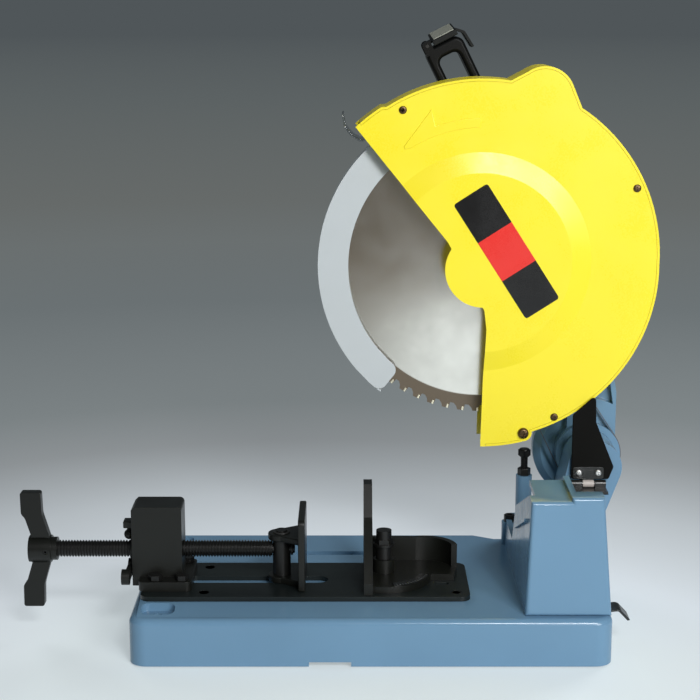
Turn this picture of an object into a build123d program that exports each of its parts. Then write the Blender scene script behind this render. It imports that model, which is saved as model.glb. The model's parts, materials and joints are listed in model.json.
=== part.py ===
from build123d import *
from math import acos, atan2, cos, degrees, hypot, pi, radians, sin, sqrt, tan
import os

os.makedirs("parts", exist_ok=True)

# Metal cut-off saw with a swinging head, a quick-release vise and a mitre fence.
# Millimetres. +X runs from the vise handle to the head pivot, +Y runs away from the
# viewer along the blade's axis, +Z is up. The origin is the middle of the saw's
# footprint, on the floor.

# Fits and gaps
running_fit = 0.04
slip_fit = 0.02
body_gap = 0.4
slide_gap = 0.1

# Base casting
base_left = -212
base_front = -210
base_length = 483
base_depth = 258
base_height = 50
base_corner = 18
base_edge = 7
base_wall = 6
base_roof = 7
rim_clearance = 1.5
deck_rise = 5
deck_slope_depth = 30
deck_gap = 7
deck_end_slope = 28
rib_height = 16
rib_thickness = 5
bench_hole_radius = 4.5
bench_hole_inset = 28
bench_hole_inset_y = 25
bench_pocket_length = 34
bench_pocket_width = 22
bench_pocket_corner = 8
bench_pocket_depth = 4
rim_notch_left = -32
rim_notch_width = 42
rim_notch_height = 6
foot_radius = 13
foot_height = 14
foot_inset_left = 62
foot_inset_right = 45
foot_inset_y = 24

# Pedestal casting
pedestal_width = 86.5
pedestal_inset = 1.5
pedestal_front_inset = 10
pedestal_wall = 6
pedestal_corner = 9
tub_height = 30
tub_back_inset = 2
hood_depth = 78
hood_high_depth = 22
hood_low_top = 118.5
hood_high_top = 123
hood_step_width = 44
hood_draft = 10.5
hood_left_draft = 4
hood_roof_inset = 10
side_level_length = 24
side_length = 136
side_end_slope = 18
side_angle = 22
side_rib_drop = 24
side_rib_length = 94
side_rib_width = 3
side_rib_rise = 2.5
chute_inset = 70
chute_margin = 22
pivot_boss_radius = 29
pivot_boss_length = 53
pivot_shaft_radius = 12.5
flap_ledge_depth = 27
flap_ledge_height = 88
flap_ledge_left = 28
flap_ledge_right = 12
pivot_wall_left = 43
pedestal_bolt_radius = 4
pedestal_bolt_head = 6.5
pedestal_bolt_head_height = 8
column_radius = 9
ear_inset = 14.5
ear_height = 10
column_inset = 5.5
column_inset_back = 18
column_height = 26

# Head pivot and blade place, with the head up
pivot_height = 160
head_reach = 123.4
head_rise = 216
blade_dip = 15
blade_slot_margin = 9
blade_slot_half_width = 6
blade_front_gap = 189
blade_diameter = 320
blade_thickness = 2.2
blade_bore_radius = 12.7
blade_teeth = 60
tooth_depth = 6.5
tip_height = 4.5
tip_width = 2.8
tip_length = 2.4

# Yellow guard, a pressed shell with a screwed cover
guard_clearance = 13.1
guard_low_clearance = 10.7
guard_foot_clearance = 18.8
guard_tip_clearance = 25.6
guard_shift_x = -2.4
guard_shift_z = 10.2
guard_depth = 54
guard_front_reach = 30
guard_sheet = 2
guard_rim = 2.5
cover_gap = 0.3
open_edge = 6
guard_post_radius = 4.6
cover_screw_radius = 2.5
cover_screw_length = 12
cover_screw_rise = 2
cover_bolt_head = 6.4
cover_bolt_rise = 4
cover_bolt_inset = 9.2
cover_bolt_angle = -75.6
hub_lobe_radius = 40
disc_outer_radius = 115
disc_inner_radius = 94
disc_rise = 6
disc_shift_z = 6.3
bump_radius = 31
bump_inset = 7.3
bump_angle = 69.5
kink_inset = 5.2
kink_angle = 119.8

# Lower guard, a pressed ring round the blade's free side
ring_clearance = 12.7
ring_width = 32
ring_sheet = 1.5
ring_front_gap = 10
ring_back_gap = 10
ring_start = 100
ring_end = 228
ring_corner = 9
sleeve_radius = 19
sleeve_wall = 2.4

# Band that turns the lower guard as the head comes down
band_ratio = 1.8632
band_width = 8
band_thickness = 0.9
band_margin = 2

# Arm with its gear case
arm_thickness = 35
arm_hub_radius = 36
arm_rim = 5.5
arm_pocket = 11
arm_pocket_gap = 3
hub_drum_radius = 58
hub_drum_chamfer = 8
hub_drum_front = 10
hub_drum_back = 3
neck_outer_bulge = 11
neck_outer_height = 140
neck_case_offset = 60
neck_case_height = 40
neck_inner_setback = 35
neck_inner_height = 105
case_radius = 64
case_wall = 8
motor_boss_radius = 46
standoff_circle = 30
standoff_radius = 5.5
guard_screw_radius = 2.5
gear_cover_thickness = 8
bush_wall = 2.5
spring_wire = 4
spring_radius = 24
spring_turns = 4
spring_pitch = 4.8
spring_bend = 5
spring_leg = 3

# Gears
gear_module = 2.5
gear_teeth = 42
pinion_teeth = 10
gear_width = 14
gear_addendum = 1.5
gear_backlash = 0.5
pressure_angle = 20
motor_angle = 80

# Arbor
spindle_radius = 10
spindle_tail_radius = 6
needle_wall = 3
flange_radius = 26
flange_thickness = 7
arbor_bolt_radius = 5
arbor_bolt_flats = 17
arbor_bolt_head = 7
arbor_washer_radius = 13
arbor_washer = 2

# Motor
motor_length = 128
motor_radius = 50
motor_wall = 4
motor_flange_radius = 57
end_cap_length = 24
armature_radius = 24
armature_length = 50
armature_shaft_radius = 6
stator_gap = 1
stator_wall = 16
fan_radius = 40
fan_width = 12
commutator_radius = 15
commutator_length = 22
ball_bearing_radius = 16
ball_bearing_width = 8
brush_cap_radius = 9
brush_cap_rise = 4
inlet_radius = 8
inlet_length = 14

# Loop handle
handle_lean = 26.5
handle_base_x = 9
handle_width = 44
handle_length = 132.5
handle_depth = 46
handle_rail = 10
handle_hole_start = 40
handle_foot_width = 68
handle_foot_height = 16
handle_bar = 14.5
handle_mid_y = 95
handle_edge = 4
lever_thickness = 3
lever_bead = 4
lever_pin_radius = 2
lever_travel_gap = 4.5
lever_lip = 6.5
lever_lip_drop = 25
lever_ear = 5

# Vise
bed_left = -204
bed_length = 335
bed_front_gap = 39
bed_depth = 104
bed_thickness = 5
bed_corner = 10
bed_slot_width = 20
bed_slot_start = -160
bed_slot_end = -14
bed_screw_radius = 3
bed_screw_inset_left = 64
bed_screw_inset = 14
small_slot_inset = 27
small_slot_length = 14
small_slot_width = 6
small_slot_drop = 12
screw_height = 34
screw_radius = 8.7
screw_tip_radius = 5
housing_left = -215
housing_length = 51.5
housing_width = 38
housing_height = 84
housing_bevel = 14
housing_foot = 10
housing_foot_width = 74
housing_foot_length = 62
housing_bolt_radius = 4
housing_bolt_flats = 13
housing_bolt_head = 5.5
housing_bolt_inset_left = 25
housing_bolt_inset_right = 10
housing_bolt_offset = 28
half_nut_length = 30
half_nut_width = 24
half_nut_drop = 5
lever_pivot_drop = 20
fence_face = 23
vise_opening = 60
jaw_thickness = 7
jaw_width = 76
jaw_height = 75
jaw_plate = 6.5
jaw_nose_radius = 14
jaw_post_setback = 25
jaw_post_radius = 9.3
jaw_pivot_radius = 6
tee_hub_radius = 14
tee_hub_length = 29
tee_reach = 62
tee_sweep = 7.8
paddle_width = 21
paddle_length = 26
paddle_thickness = 11
screw_end = -294

# Fence
fence_thickness = 9
fence_height = 94
fence_low_height = 12
fence_floor = 7
fence_pivot_offset = 21
fence_pivot_y = 7
fence_pivot_radius = 6
fence_quadrant = 50
fence_rim_reach = 77
fence_rim_height = 32
fence_rim_thickness = 6
fence_boss_radius = 11
fence_boss_height = 14
fence_stack_height = 50

# Chip flap and its hinge
flap_thickness = 3
flap_inset = 2
flap_left_height = 60
flap_peak = 26
flap_peak_height = 82
flap_waist = 27
flap_waist_height = 52
flap_shoulder = 47
flap_shoulder_height = 3
flap_foot = 42
flap_corner = 3
flap_hinge_radius = 4
flap_hinge_length = 38
flap_hinge_setback = 8
flap_hinge_middle = 20
flap_leaf_depth = 18
flap_leaf_thickness = 3
flap_pin_radius = 1.8

# Chip drawer
drawer_length = 116
drawer_sheet = 1.5
drawer_height = 33
drawer_floor = 7
drawer_width = 172
drawer_face = 5
strap_width = 24
strap_thickness = 3

# Depth stop
stop_offset = 67
stop_bolt_radius = 4
stop_head_radius = 7
stop_head_height = 9
stop_top_drop = 0.6
stop_post_radius = 9
stop_post_drop = 31
stop_nut_height = 8

# Places worked out from the sizes above
base_right = base_left + base_length
base_back = base_front + base_depth
base_mid_x = base_left + base_length / 2
base_mid_y = base_front + base_depth / 2
cavity_top = base_height - base_roof
deck_top = base_height + deck_rise
bed_top = deck_top + bed_thickness
bed_front = base_front + bed_front_gap
bed_back = bed_front + bed_depth
vise_y = bed_front + bed_depth / 2
screw_z = bed_top + screw_height
pedestal_right = base_right - pedestal_inset
pedestal_left = pedestal_right - pedestal_width
pedestal_front = base_front + pedestal_front_inset
pedestal_back = base_back - tub_back_inset
pivot_x = base_right
pivot_z = pivot_height
arbor_x = pivot_x - head_reach
arbor_z = pivot_z + head_rise
blade_y = base_front + blade_front_gap
blade_radius = blade_diameter / 2
ring_outer_radius = blade_radius + ring_clearance
guard_radius = ring_outer_radius + guard_clearance
guard_low_radius = ring_outer_radius + guard_low_clearance
guard_foot_radius = ring_outer_radius + guard_foot_clearance
guard_tip_radius = ring_outer_radius + guard_tip_clearance
guard_x = arbor_x + guard_shift_x
guard_z = arbor_z + guard_shift_z
guard_front = blade_y - guard_front_reach
guard_back = guard_front + guard_depth
band_front = guard_back + band_margin
band_back = band_front + band_width
arm_front = band_back + band_margin
arm_back = arm_front + arm_thickness
cover_back = arm_back + gear_cover_thickness
motor_back = cover_back + motor_length
saw_back = motor_back + end_cap_length
drum_radius = sleeve_radius * band_ratio
centre_distance = gear_module * (gear_teeth + pinion_teeth) / 2
motor_x = arbor_x + centre_distance * cos(radians(motor_angle))
motor_z = arbor_z + centre_distance * sin(radians(motor_angle))
low_arbor_z = deck_top + blade_radius - blade_dip
swing = acos((low_arbor_z - pivot_z) / hypot(head_reach, head_rise)) - atan2(head_reach, head_rise)
low_arbor_x = pivot_x - head_reach * cos(swing) - head_rise * sin(swing)
slot_half = sqrt(blade_radius**2 - (blade_radius - blade_dip) ** 2) + blade_slot_margin


def front_plane(y):
    """Plane across the saw at depth y, drawn in X and Z, that extrudes to the front."""
    return Plane.XZ.offset(-y)


def raised(x, z):
    """Place with the head up of a point given with the head fully down."""
    dx = x - pivot_x
    dz = z - pivot_z
    return (pivot_x + dx * cos(swing) + dz * sin(swing), pivot_z - dx * sin(swing) + dz * cos(swing))


def polar(x, z, radius, angle):
    """Point at a radius and an angle in degrees about (x, z)."""
    return (x + radius * cos(radians(angle)), z + radius * sin(radians(angle)))


def disc(y, depth, x, z, radius, mode=Mode.ADD):
    """Round bar or hole along Y from y towards the back, in the current part."""
    with BuildSketch(front_plane(y + depth)) as shape:
        with Locations((x, z)):
            Circle(radius)
    extrude(shape.sketch, amount=depth, mode=mode)


def post(z, height, x, y, radius, mode=Mode.ADD):
    """Upright round bar or hole from z upwards, in the current part."""
    with BuildSketch(Plane.XY.offset(z)) as shape:
        with Locations((x, y)):
            Circle(radius)
    extrude(shape.sketch, amount=height, mode=mode)


def rod(x, length, y, z, radius, mode=Mode.ADD):
    """Round bar or hole along X from x to the right, in the current part."""
    with BuildSketch(Plane.YZ.offset(x)) as shape:
        with Locations((y, z)):
            Circle(radius)
    extrude(shape.sketch, amount=length, mode=mode)


def hex_upright(z, height, x, y, flats):
    """Upright hexagon from z upwards, in the current part."""
    with BuildSketch(Plane.XY.offset(z)) as shape:
        with Locations((x, y)):
            RegularPolygon(flats / 2, 6, major_radius=False)
    extrude(shape.sketch, amount=height)


def block(x0, x1, y0, y1, z0, z1, mode=Mode.ADD):
    """Rectangular block between two corners, in the current part."""
    with BuildSketch(Plane.XY.offset(z0)) as shape:
        with Locations(((x0 + x1) / 2, (y0 + y1) / 2)):
            Rectangle(x1 - x0, y1 - y0)
    extrude(shape.sketch, amount=z1 - z0, mode=mode)


def front_prism(points, y, depth, mode=Mode.ADD):
    """Straight-sided outline in X and Z from y towards the back, in the current part."""
    with BuildSketch(front_plane(y + depth)) as shape:
        with BuildLine():
            Polyline(*points, close=True)
        make_face()
    extrude(shape.sketch, amount=depth, mode=mode)


def side_prism(points, x, length, mode=Mode.ADD):
    """Straight-sided outline in Y and Z from x to the right, in the current part."""
    with BuildSketch(Plane.YZ.offset(x)) as shape:
        with BuildLine():
            Polyline(*points, close=True)
        make_face()
    extrude(shape.sketch, amount=length, mode=mode)


# Base casting: a rounded box, open below, with a raised deck for the vise
bench_holes = [(base_left + bench_hole_inset, base_front + bench_hole_inset_y),
               (base_left + bench_hole_inset, base_back - bench_hole_inset_y)]
feet = [(x, y) for x in (base_left + foot_inset_left, base_right - foot_inset_right)
        for y in (base_front + foot_inset_y, base_back - foot_inset_y)]
drawer_front = base_mid_y - drawer_width / 2
drawer_back = drawer_front + drawer_width
front_ears = [(pedestal_left + ear_inset, pedestal_front + ear_inset),
              (pedestal_right - ear_inset, pedestal_front + ear_inset)]
rear_columns = [(pedestal_left + column_inset, pedestal_back - column_inset_back),
                (pedestal_right - ear_inset, pedestal_back - column_inset_back)]
column_top = base_height + column_height
pedestal_screws = [(place, base_height + ear_height) for place in front_ears]
pedestal_screws += [(place, column_top) for place in rear_columns]
bed_screws = [(x, y) for x in (bed_left + bed_screw_inset_left, bed_left + bed_length - bed_screw_inset)
              for y in (bed_front + bed_screw_inset, bed_back - bed_screw_inset)]
foot_right = housing_left + housing_foot_length
housing_bolts = [(x, y) for x in (housing_left + housing_bolt_inset_left,
                                  foot_right - housing_bolt_inset_right)
                 for y in (vise_y - housing_bolt_offset, vise_y + housing_bolt_offset)]
fence_pivot_x = fence_face + fence_pivot_offset
fence_pivot = (fence_pivot_x, vise_y + fence_pivot_y)
deck_hole_depth = 8
deck_back = base_back - base_edge - 1
deck_low_front = bed_front - deck_slope_depth
deck_low_right = pedestal_left - deck_gap
deck_right = deck_low_right - deck_end_slope
deck_bolts = [(place, bed_screw_radius) for place in bed_screws]
deck_bolts += [(place, housing_bolt_radius) for place in housing_bolts]
deck_bolts += [(fence_pivot, fence_pivot_radius)]

with BuildPart() as base_casting:
    with BuildSketch(Plane.XY.offset(rim_clearance)):
        with Locations((base_mid_x, base_mid_y)):
            RectangleRounded(base_length, base_depth, base_corner)
    extrude(amount=base_height - rim_clearance)
    fillet(base_casting.edges().group_by(Axis.Z)[-1], base_edge)
    with BuildSketch(Plane.XY.offset(base_height)):
        with Locations(((bed_left + deck_low_right) / 2, (deck_low_front + deck_back) / 2)):
            Rectangle(deck_low_right - bed_left, deck_back - deck_low_front)
    with BuildSketch(Plane.XY.offset(deck_top)):
        with Locations(((bed_left + deck_right) / 2, (bed_front + deck_back) / 2)):
            Rectangle(deck_right - bed_left, deck_back - bed_front)
    loft()
    with BuildSketch(Plane.XY.offset(rim_clearance)):
        with Locations((base_mid_x, base_mid_y)):
            RectangleRounded(base_length - 2 * base_wall, base_depth - 2 * base_wall,
                             base_corner - base_wall)
    extrude(amount=cavity_top - rim_clearance, mode=Mode.SUBTRACT)
    for rib_y in (bed_front + 20, bed_back + 12):
        block(base_left + base_wall, deck_right - 6, rib_y, rib_y + rib_thickness,
              cavity_top - rib_height, cavity_top)
    for x, y in feet:
        post(foot_height, cavity_top - foot_height, x, y, foot_radius - 3)
    block(low_arbor_x - slot_half, low_arbor_x + slot_half, blade_y - blade_slot_half_width,
          blade_y + blade_slot_half_width, cavity_top - 1, deck_top + 1, Mode.SUBTRACT)
    block(pedestal_left + chute_margin, pedestal_right - chute_margin, pedestal_front + chute_inset,
          pedestal_back - chute_margin, cavity_top - 1, deck_top + 1, Mode.SUBTRACT)
    block(base_right - base_wall - 1, base_right + 1, drawer_front - 1, drawer_back + 1,
          drawer_floor - 1, drawer_floor + drawer_height + 1, Mode.SUBTRACT)
    block(rim_notch_left, rim_notch_left + rim_notch_width, base_front - 1, base_front + base_wall + 1,
          0, rim_notch_height, Mode.SUBTRACT)
    for x, y in bench_holes:
        post(cavity_top - 1, base_roof + deck_rise + 2, x, y, bench_hole_radius, Mode.SUBTRACT)
        with BuildSketch(Plane.XY.offset(base_height - bench_pocket_depth)):
            with Locations((x, y)):
                RectangleRounded(bench_pocket_length, bench_pocket_width, bench_pocket_corner)
        extrude(amount=bench_pocket_depth + deck_rise + 1, mode=Mode.SUBTRACT)
    for (x, y), seat in pedestal_screws:
        post(cavity_top - 1, base_roof + 2, x, y, pedestal_bolt_radius + slip_fit, Mode.SUBTRACT)
    for (x, y), radius in deck_bolts:
        post(deck_top - deck_hole_depth, deck_hole_depth + 1, x, y, radius + slip_fit, Mode.SUBTRACT)

base_casting.part.label = "base_casting"
export_step(base_casting.part, "parts/base_casting.step")

# Rubber feet, one under each corner post
with BuildPart() as rubber_feet:
    for x, y in feet:
        post(0, foot_height, x, y, foot_radius)
    chamfer(rubber_feet.edges().group_by(Axis.Z)[0], 1.5)

rubber_feet.part.label = "rubber_feet"
export_step(rubber_feet.part, "parts/rubber_feet.step")

# Pedestal casting: chip hood with sloping sides, low tub, pivot wall with its boss, and the stop post
hood_low_z = base_height + hood_low_top
hood_high_z = base_height + hood_high_top
hood_step_x = pedestal_left + hood_step_width
hood_step_inside = hood_step_x + pedestal_wall
hood_roof_left = pedestal_left + hood_roof_inset
hood_low_back = pedestal_front + hood_depth
hood_high_back = pedestal_front + hood_high_depth
side_level_back = pedestal_front + side_level_length
side_back = pedestal_front + side_length
side_end = side_back + side_end_slope
side_fall = tan(radians(side_angle))
tub_top = base_height + tub_height
boss_front = band_front - pivot_boss_length
ledge_top = base_height + flap_ledge_height
ledge_left = pivot_x - flap_ledge_left
ledge_front = boss_front - flap_ledge_depth
wall_low = tub_top - 8
wall_left = pivot_x - pivot_wall_left
stop_x = pivot_x - stop_offset
stop_y = arm_front + arm_thickness / 2
stop_top = pivot_z - stop_top_drop
stop_post_top = pivot_z - stop_post_drop


def left_side(z):
    """X of the hood's left face at a height."""
    return pedestal_left + hood_left_draft * (z - base_height) / hood_low_top


def right_side(z):
    """X of the hood's right face at a height."""
    return pedestal_right - hood_draft * (z - base_height) / hood_high_top


def side_top(y, drop=0):
    """Point of the left side's sloping top at a depth, lowered by a drop."""
    return (y, hood_low_z - drop - (y - side_level_back) * side_fall)


below = base_height - 1
hood_outline = [
    (pedestal_left, base_height),
    (pedestal_right, base_height),
    (right_side(hood_high_z), hood_high_z),
    (hood_step_x, hood_high_z),
    (hood_step_x, hood_low_z),
    (left_side(hood_low_z), hood_low_z),
]
hood_inside = [
    (left_side(below) + pedestal_wall, below),
    (right_side(below) - pedestal_wall, below),
    (right_side(hood_high_z) - pedestal_wall, hood_high_z - pedestal_wall),
    (hood_step_inside, hood_high_z - pedestal_wall),
    (hood_step_inside, hood_low_z - pedestal_wall),
    (left_side(hood_low_z) + pedestal_wall, hood_low_z - pedestal_wall),
]
left_cut = [
    (side_level_back, hood_high_z),
    side_top(side_level_back),
    side_top(side_back),
    (side_end, tub_top),
    (side_end + 1, tub_top),
    (side_end + 1, hood_high_z),
]
right_cut = [
    (hood_high_back, hood_high_z + 1),
    (hood_high_back, hood_high_z),
    (ledge_front, ledge_top),
    (side_end + 1, ledge_top),
    (side_end + 1, hood_high_z + 1),
]
side_rib = [
    side_top(side_level_back, side_rib_drop),
    side_top(side_level_back + side_rib_length, side_rib_drop),
    side_top(side_level_back + side_rib_length, side_rib_drop + side_rib_width),
    side_top(side_level_back, side_rib_drop + side_rib_width),
]
tub_outline = [
    (pedestal_left, base_height),
    (pedestal_right, base_height),
    (right_side(tub_top), tub_top),
    (left_side(tub_top), tub_top),
]
tub_inside = [
    (left_side(below) + pedestal_wall, below),
    (right_side(below) - pedestal_wall, below),
    (right_side(tub_top + 1) - pedestal_wall, tub_top + 1),
    (left_side(tub_top + 1) + pedestal_wall, tub_top + 1),
]

with BuildPart() as pedestal:
    front_prism(hood_outline, pedestal_front, side_end - pedestal_front)
    fillet(pedestal.faces().sort_by(Axis.Y)[0].edges(), pedestal_wall - 1.5)
    front_prism(hood_inside, pedestal_front + pedestal_wall, side_end - pedestal_front, Mode.SUBTRACT)
    side_prism(left_cut, pedestal_left - 1, hood_roof_inset + 1, Mode.SUBTRACT)
    block(hood_roof_left, hood_step_inside, hood_low_back, side_end + 1, tub_top, hood_high_z + 1,
          Mode.SUBTRACT)
    side_prism(right_cut, hood_step_inside, pedestal_right - hood_step_inside + 1, Mode.SUBTRACT)
    side_prism(side_rib, left_side(side_rib[1][1]) - side_rib_rise, side_rib_rise + pedestal_wall / 2)
    front_prism(tub_outline, hood_low_back, pedestal_back - hood_low_back)
    rear_edges = pedestal.edges().group_by(Axis.Y)[-1].sort_by(Axis.X)
    fillet([rear_edges[0], rear_edges[-1]], pedestal_corner)
    front_prism(tub_inside, hood_low_back - 1, pedestal_back - pedestal_wall - hood_low_back + 1,
                Mode.SUBTRACT)
    front_prism(
        [(wall_left, wall_low), (pedestal_right, wall_low), polar(pivot_x, pivot_z, pivot_boss_radius, -25),
         polar(pivot_x, pivot_z, pivot_boss_radius, 160), (pivot_x - 36, tub_top + 50)],
        boss_front, pivot_boss_length,
    )
    front_prism(
        [(wall_left, wall_low), (pedestal_right, wall_low), (pivot_x + flap_ledge_right, ledge_top),
         (ledge_left, ledge_top)],
        ledge_front, flap_ledge_depth,
    )
    disc(boss_front, pivot_boss_length, pivot_x, pivot_z, pivot_boss_radius)
    disc(band_front, band_width, pivot_x, pivot_z, drum_radius)
    disc(boss_front - 1, pivot_boss_length + band_width + 2, pivot_x, pivot_z, pivot_shaft_radius,
         Mode.SUBTRACT)
    disc(band_front + 1, band_width, pivot_x + spring_bend, pivot_z + spring_radius,
         spring_wire / 2 + body_gap, Mode.SUBTRACT)
    for (x, y), seat in pedestal_screws:
        post(base_height, seat - base_height, x, y, column_radius)
    for x, y in rear_columns:
        post(column_top, tub_height, x, y, pedestal_bolt_head + 1, Mode.SUBTRACT)
    for (x, y), seat in pedestal_screws:
        post(below, seat - below + 1, x, y, pedestal_bolt_radius + slip_fit, Mode.SUBTRACT)
    post(base_height, stop_post_top - base_height, stop_x, stop_y, stop_post_radius)
    block(stop_x - 5, stop_x + 5, stop_y, pedestal_back - pedestal_wall / 2, base_height,
          stop_post_top - 22)
    post(stop_post_top - 20, 21, stop_x, stop_y, stop_bolt_radius + slip_fit, Mode.SUBTRACT)

pedestal.part.label = "pedestal"
export_step(pedestal.part, "parts/pedestal.step")

# Pedestal bolts: socket head screws down into the base
with BuildPart() as pedestal_bolts:
    for (x, y), seat in pedestal_screws:
        post(cavity_top - 4, seat - cavity_top + 4, x, y, pedestal_bolt_radius)
        post(seat, pedestal_bolt_head_height, x, y, pedestal_bolt_head)
        post(seat + pedestal_bolt_head_height / 2, pedestal_bolt_head_height, x, y,
             pedestal_bolt_radius - 1, Mode.SUBTRACT)

pedestal_bolts.part.label = "pedestal_bolts"
export_step(pedestal_bolts.part, "parts/pedestal_bolts.step")

# Depth stop: bolt with its head up and a lock nut on the post
with BuildPart() as stop_bolt:
    post(stop_post_top - 18, stop_top - stop_head_height - stop_post_top + 18, stop_x, stop_y,
         stop_bolt_radius)
    post(stop_top - stop_head_height, stop_head_height, stop_x, stop_y, stop_head_radius)
    chamfer(stop_bolt.edges().group_by(Axis.Z)[-1], 1.2)

stop_bolt.part.label = "stop_bolt"
export_step(stop_bolt.part, "parts/stop_bolt.step")

with BuildPart() as stop_nut:
    hex_upright(stop_post_top, stop_nut_height, stop_x, stop_y, 2 * stop_head_radius - 1)
    post(stop_post_top - 1, stop_nut_height + 2, stop_x, stop_y, stop_bolt_radius + slip_fit, Mode.SUBTRACT)

stop_nut.part.label = "stop_nut"
export_step(stop_nut.part, "parts/stop_nut.step")

# Pivot shaft with a shoulder nut and washer behind the arm
shaft_nut_length = 12
shaft_thread_radius = pivot_shaft_radius - 2.5
washer_thickness = 2.5
shaft_shoulder = arm_back + body_gap
with BuildPart() as pivot_shaft:
    disc(boss_front + 1, shaft_shoulder - boss_front - 1, pivot_x, pivot_z, pivot_shaft_radius - slip_fit)
    disc(shaft_shoulder, washer_thickness + shaft_nut_length + 2, pivot_x, pivot_z, shaft_thread_radius)

pivot_shaft.part.label = "pivot_shaft"
export_step(pivot_shaft.part, "parts/pivot_shaft.step")

with BuildPart() as pivot_nut:
    disc(shaft_shoulder, washer_thickness, pivot_x, pivot_z, pivot_shaft_radius + 10)
    with BuildSketch(front_plane(shaft_shoulder + washer_thickness + shaft_nut_length)):
        with Locations((pivot_x, pivot_z)):
            RegularPolygon(15, 6, major_radius=False)
    extrude(amount=shaft_nut_length)
    disc(arm_back, washer_thickness + shaft_nut_length + 2, pivot_x, pivot_z,
         shaft_thread_radius + slip_fit, Mode.SUBTRACT)

pivot_nut.part.label = "pivot_nut"
export_step(pivot_nut.part, "parts/pivot_nut.step")

# Bed plate of the vise, screwed to the deck
screw_head_depth = 2.5
screw_head_radius = bed_screw_radius + 2.5
with BuildPart() as bed_plate:
    with BuildSketch(Plane.XY.offset(deck_top)):
        with Locations((bed_left + bed_length / 2, vise_y)):
            RectangleRounded(bed_length, bed_depth, bed_corner)
        with Locations(((bed_slot_start + bed_slot_end) / 2, vise_y)):
            SlotOverall(bed_slot_end - bed_slot_start, bed_slot_width, mode=Mode.SUBTRACT)
        with Locations((bed_left + bed_length - small_slot_inset, vise_y - small_slot_drop)):
            SlotOverall(small_slot_length, small_slot_width, mode=Mode.SUBTRACT)
        for place, radius in deck_bolts:
            with Locations(place):
                Circle(radius + slip_fit, mode=Mode.SUBTRACT)
    extrude(amount=bed_thickness)
    for x, y in bed_screws:
        post(bed_top - screw_head_depth, screw_head_depth + 1, x, y, screw_head_radius + slip_fit,
             Mode.SUBTRACT)

bed_plate.part.label = "bed_plate"
export_step(bed_plate.part, "parts/bed_plate.step")

with BuildPart() as bed_plate_screws:
    for x, y in bed_screws:
        post(deck_top - deck_hole_depth + 1, deck_hole_depth + bed_thickness - 2, x, y, bed_screw_radius)
        post(bed_top - screw_head_depth, screw_head_depth - 0.3, x, y, screw_head_radius)

bed_plate_screws.part.label = "bed_plate_screws"
export_step(bed_plate_screws.part, "parts/bed_plate_screws.step")

# Vise screw housing: block on a bolted foot, bored for the screw, open below for the half-nut
housing_right = housing_left + housing_length
housing_mid = housing_left + housing_length / 2
housing_top = bed_top + housing_height
half_nut_left = housing_mid - half_nut_length / 2
half_nut_bottom = bed_top + half_nut_drop + 2
lever_pivot_z = screw_z - lever_pivot_drop
lever_shaft_radius = 4

with BuildPart() as vise_housing:
    with BuildSketch(front_plane(vise_y + housing_width / 2)):
        with BuildLine():
            Polyline(
                (housing_left, bed_top),
                (housing_right, bed_top),
                (housing_right, housing_top),
                (housing_left + housing_bevel, housing_top),
                (housing_left, housing_top - housing_bevel),
                close=True,
            )
        make_face()
    extrude(amount=housing_width)
    fillet(vise_housing.edges().filter_by(Axis.Y).group_by(Axis.Z)[-1], 5)
    with BuildSketch(Plane.XY.offset(bed_top)):
        with Locations(((housing_left + 8 + foot_right) / 2, vise_y)):
            RectangleRounded(foot_right - housing_left - 8, housing_foot_width, 6)
    extrude(amount=housing_foot)
    rod(housing_left - 1, housing_length + 2, vise_y, screw_z, screw_radius + body_gap, Mode.SUBTRACT)
    block(half_nut_left - body_gap, half_nut_left + half_nut_length + body_gap,
          vise_y - half_nut_width / 2 - body_gap, vise_y + half_nut_width / 2 + body_gap,
          bed_top - 1, screw_z, Mode.SUBTRACT)
    rod(housing_left - 1, half_nut_left - housing_left + 2, vise_y, lever_pivot_z,
        lever_shaft_radius + running_fit, Mode.SUBTRACT)
    for x, y in housing_bolts:
        post(bed_top - 1, housing_foot + 2, x, y, housing_bolt_radius + slip_fit, Mode.SUBTRACT)

vise_housing.part.label = "vise_housing"
export_step(vise_housing.part, "parts/vise_housing.step")

with BuildPart() as vise_housing_bolts:
    for x, y in housing_bolts:
        post(deck_top - deck_hole_depth + 1, deck_hole_depth + bed_thickness + housing_foot, x, y,
             housing_bolt_radius)
        hex_upright(bed_top + housing_foot, housing_bolt_head, x, y, housing_bolt_flats)

vise_housing_bolts.part.label = "vise_housing_bolts"
export_step(vise_housing_bolts.part, "parts/vise_housing_bolts.step")

# Half-nut: a saddle under the screw that drops clear when the lever turns
with BuildPart() as half_nut:
    block(half_nut_left, half_nut_left + half_nut_length, vise_y - half_nut_width / 2,
          vise_y + half_nut_width / 2, half_nut_bottom, screw_z - body_gap)
    rod(half_nut_left - 1, half_nut_length + 2, vise_y, screw_z, screw_radius + running_fit, Mode.SUBTRACT)
    block(half_nut_left - 1, half_nut_left + 9, vise_y - lever_shaft_radius - 2,
          vise_y + lever_shaft_radius + 2, half_nut_bottom - 1,
          lever_pivot_z + lever_shaft_radius + half_nut_drop + 1, Mode.SUBTRACT)

half_nut.part.label = "half_nut"
export_step(half_nut.part, "parts/half_nut.step")

# Release lever: shaft through the housing's left wall, with a flat arm and a round knob
with BuildPart() as release_lever:
    rod(housing_left - 6, half_nut_left - housing_left + 12, vise_y, lever_pivot_z, lever_shaft_radius)
    rod(housing_left - 6, 5, vise_y, lever_pivot_z, 9)
    block(housing_left - 6, housing_left - 1, vise_y - 30, vise_y, lever_pivot_z - 5, lever_pivot_z + 5)
    rod(housing_left - 9, 8, vise_y - 32, lever_pivot_z, 8)

release_lever.part.label = "release_lever"
export_step(release_lever.part, "parts/release_lever.step")

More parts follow.
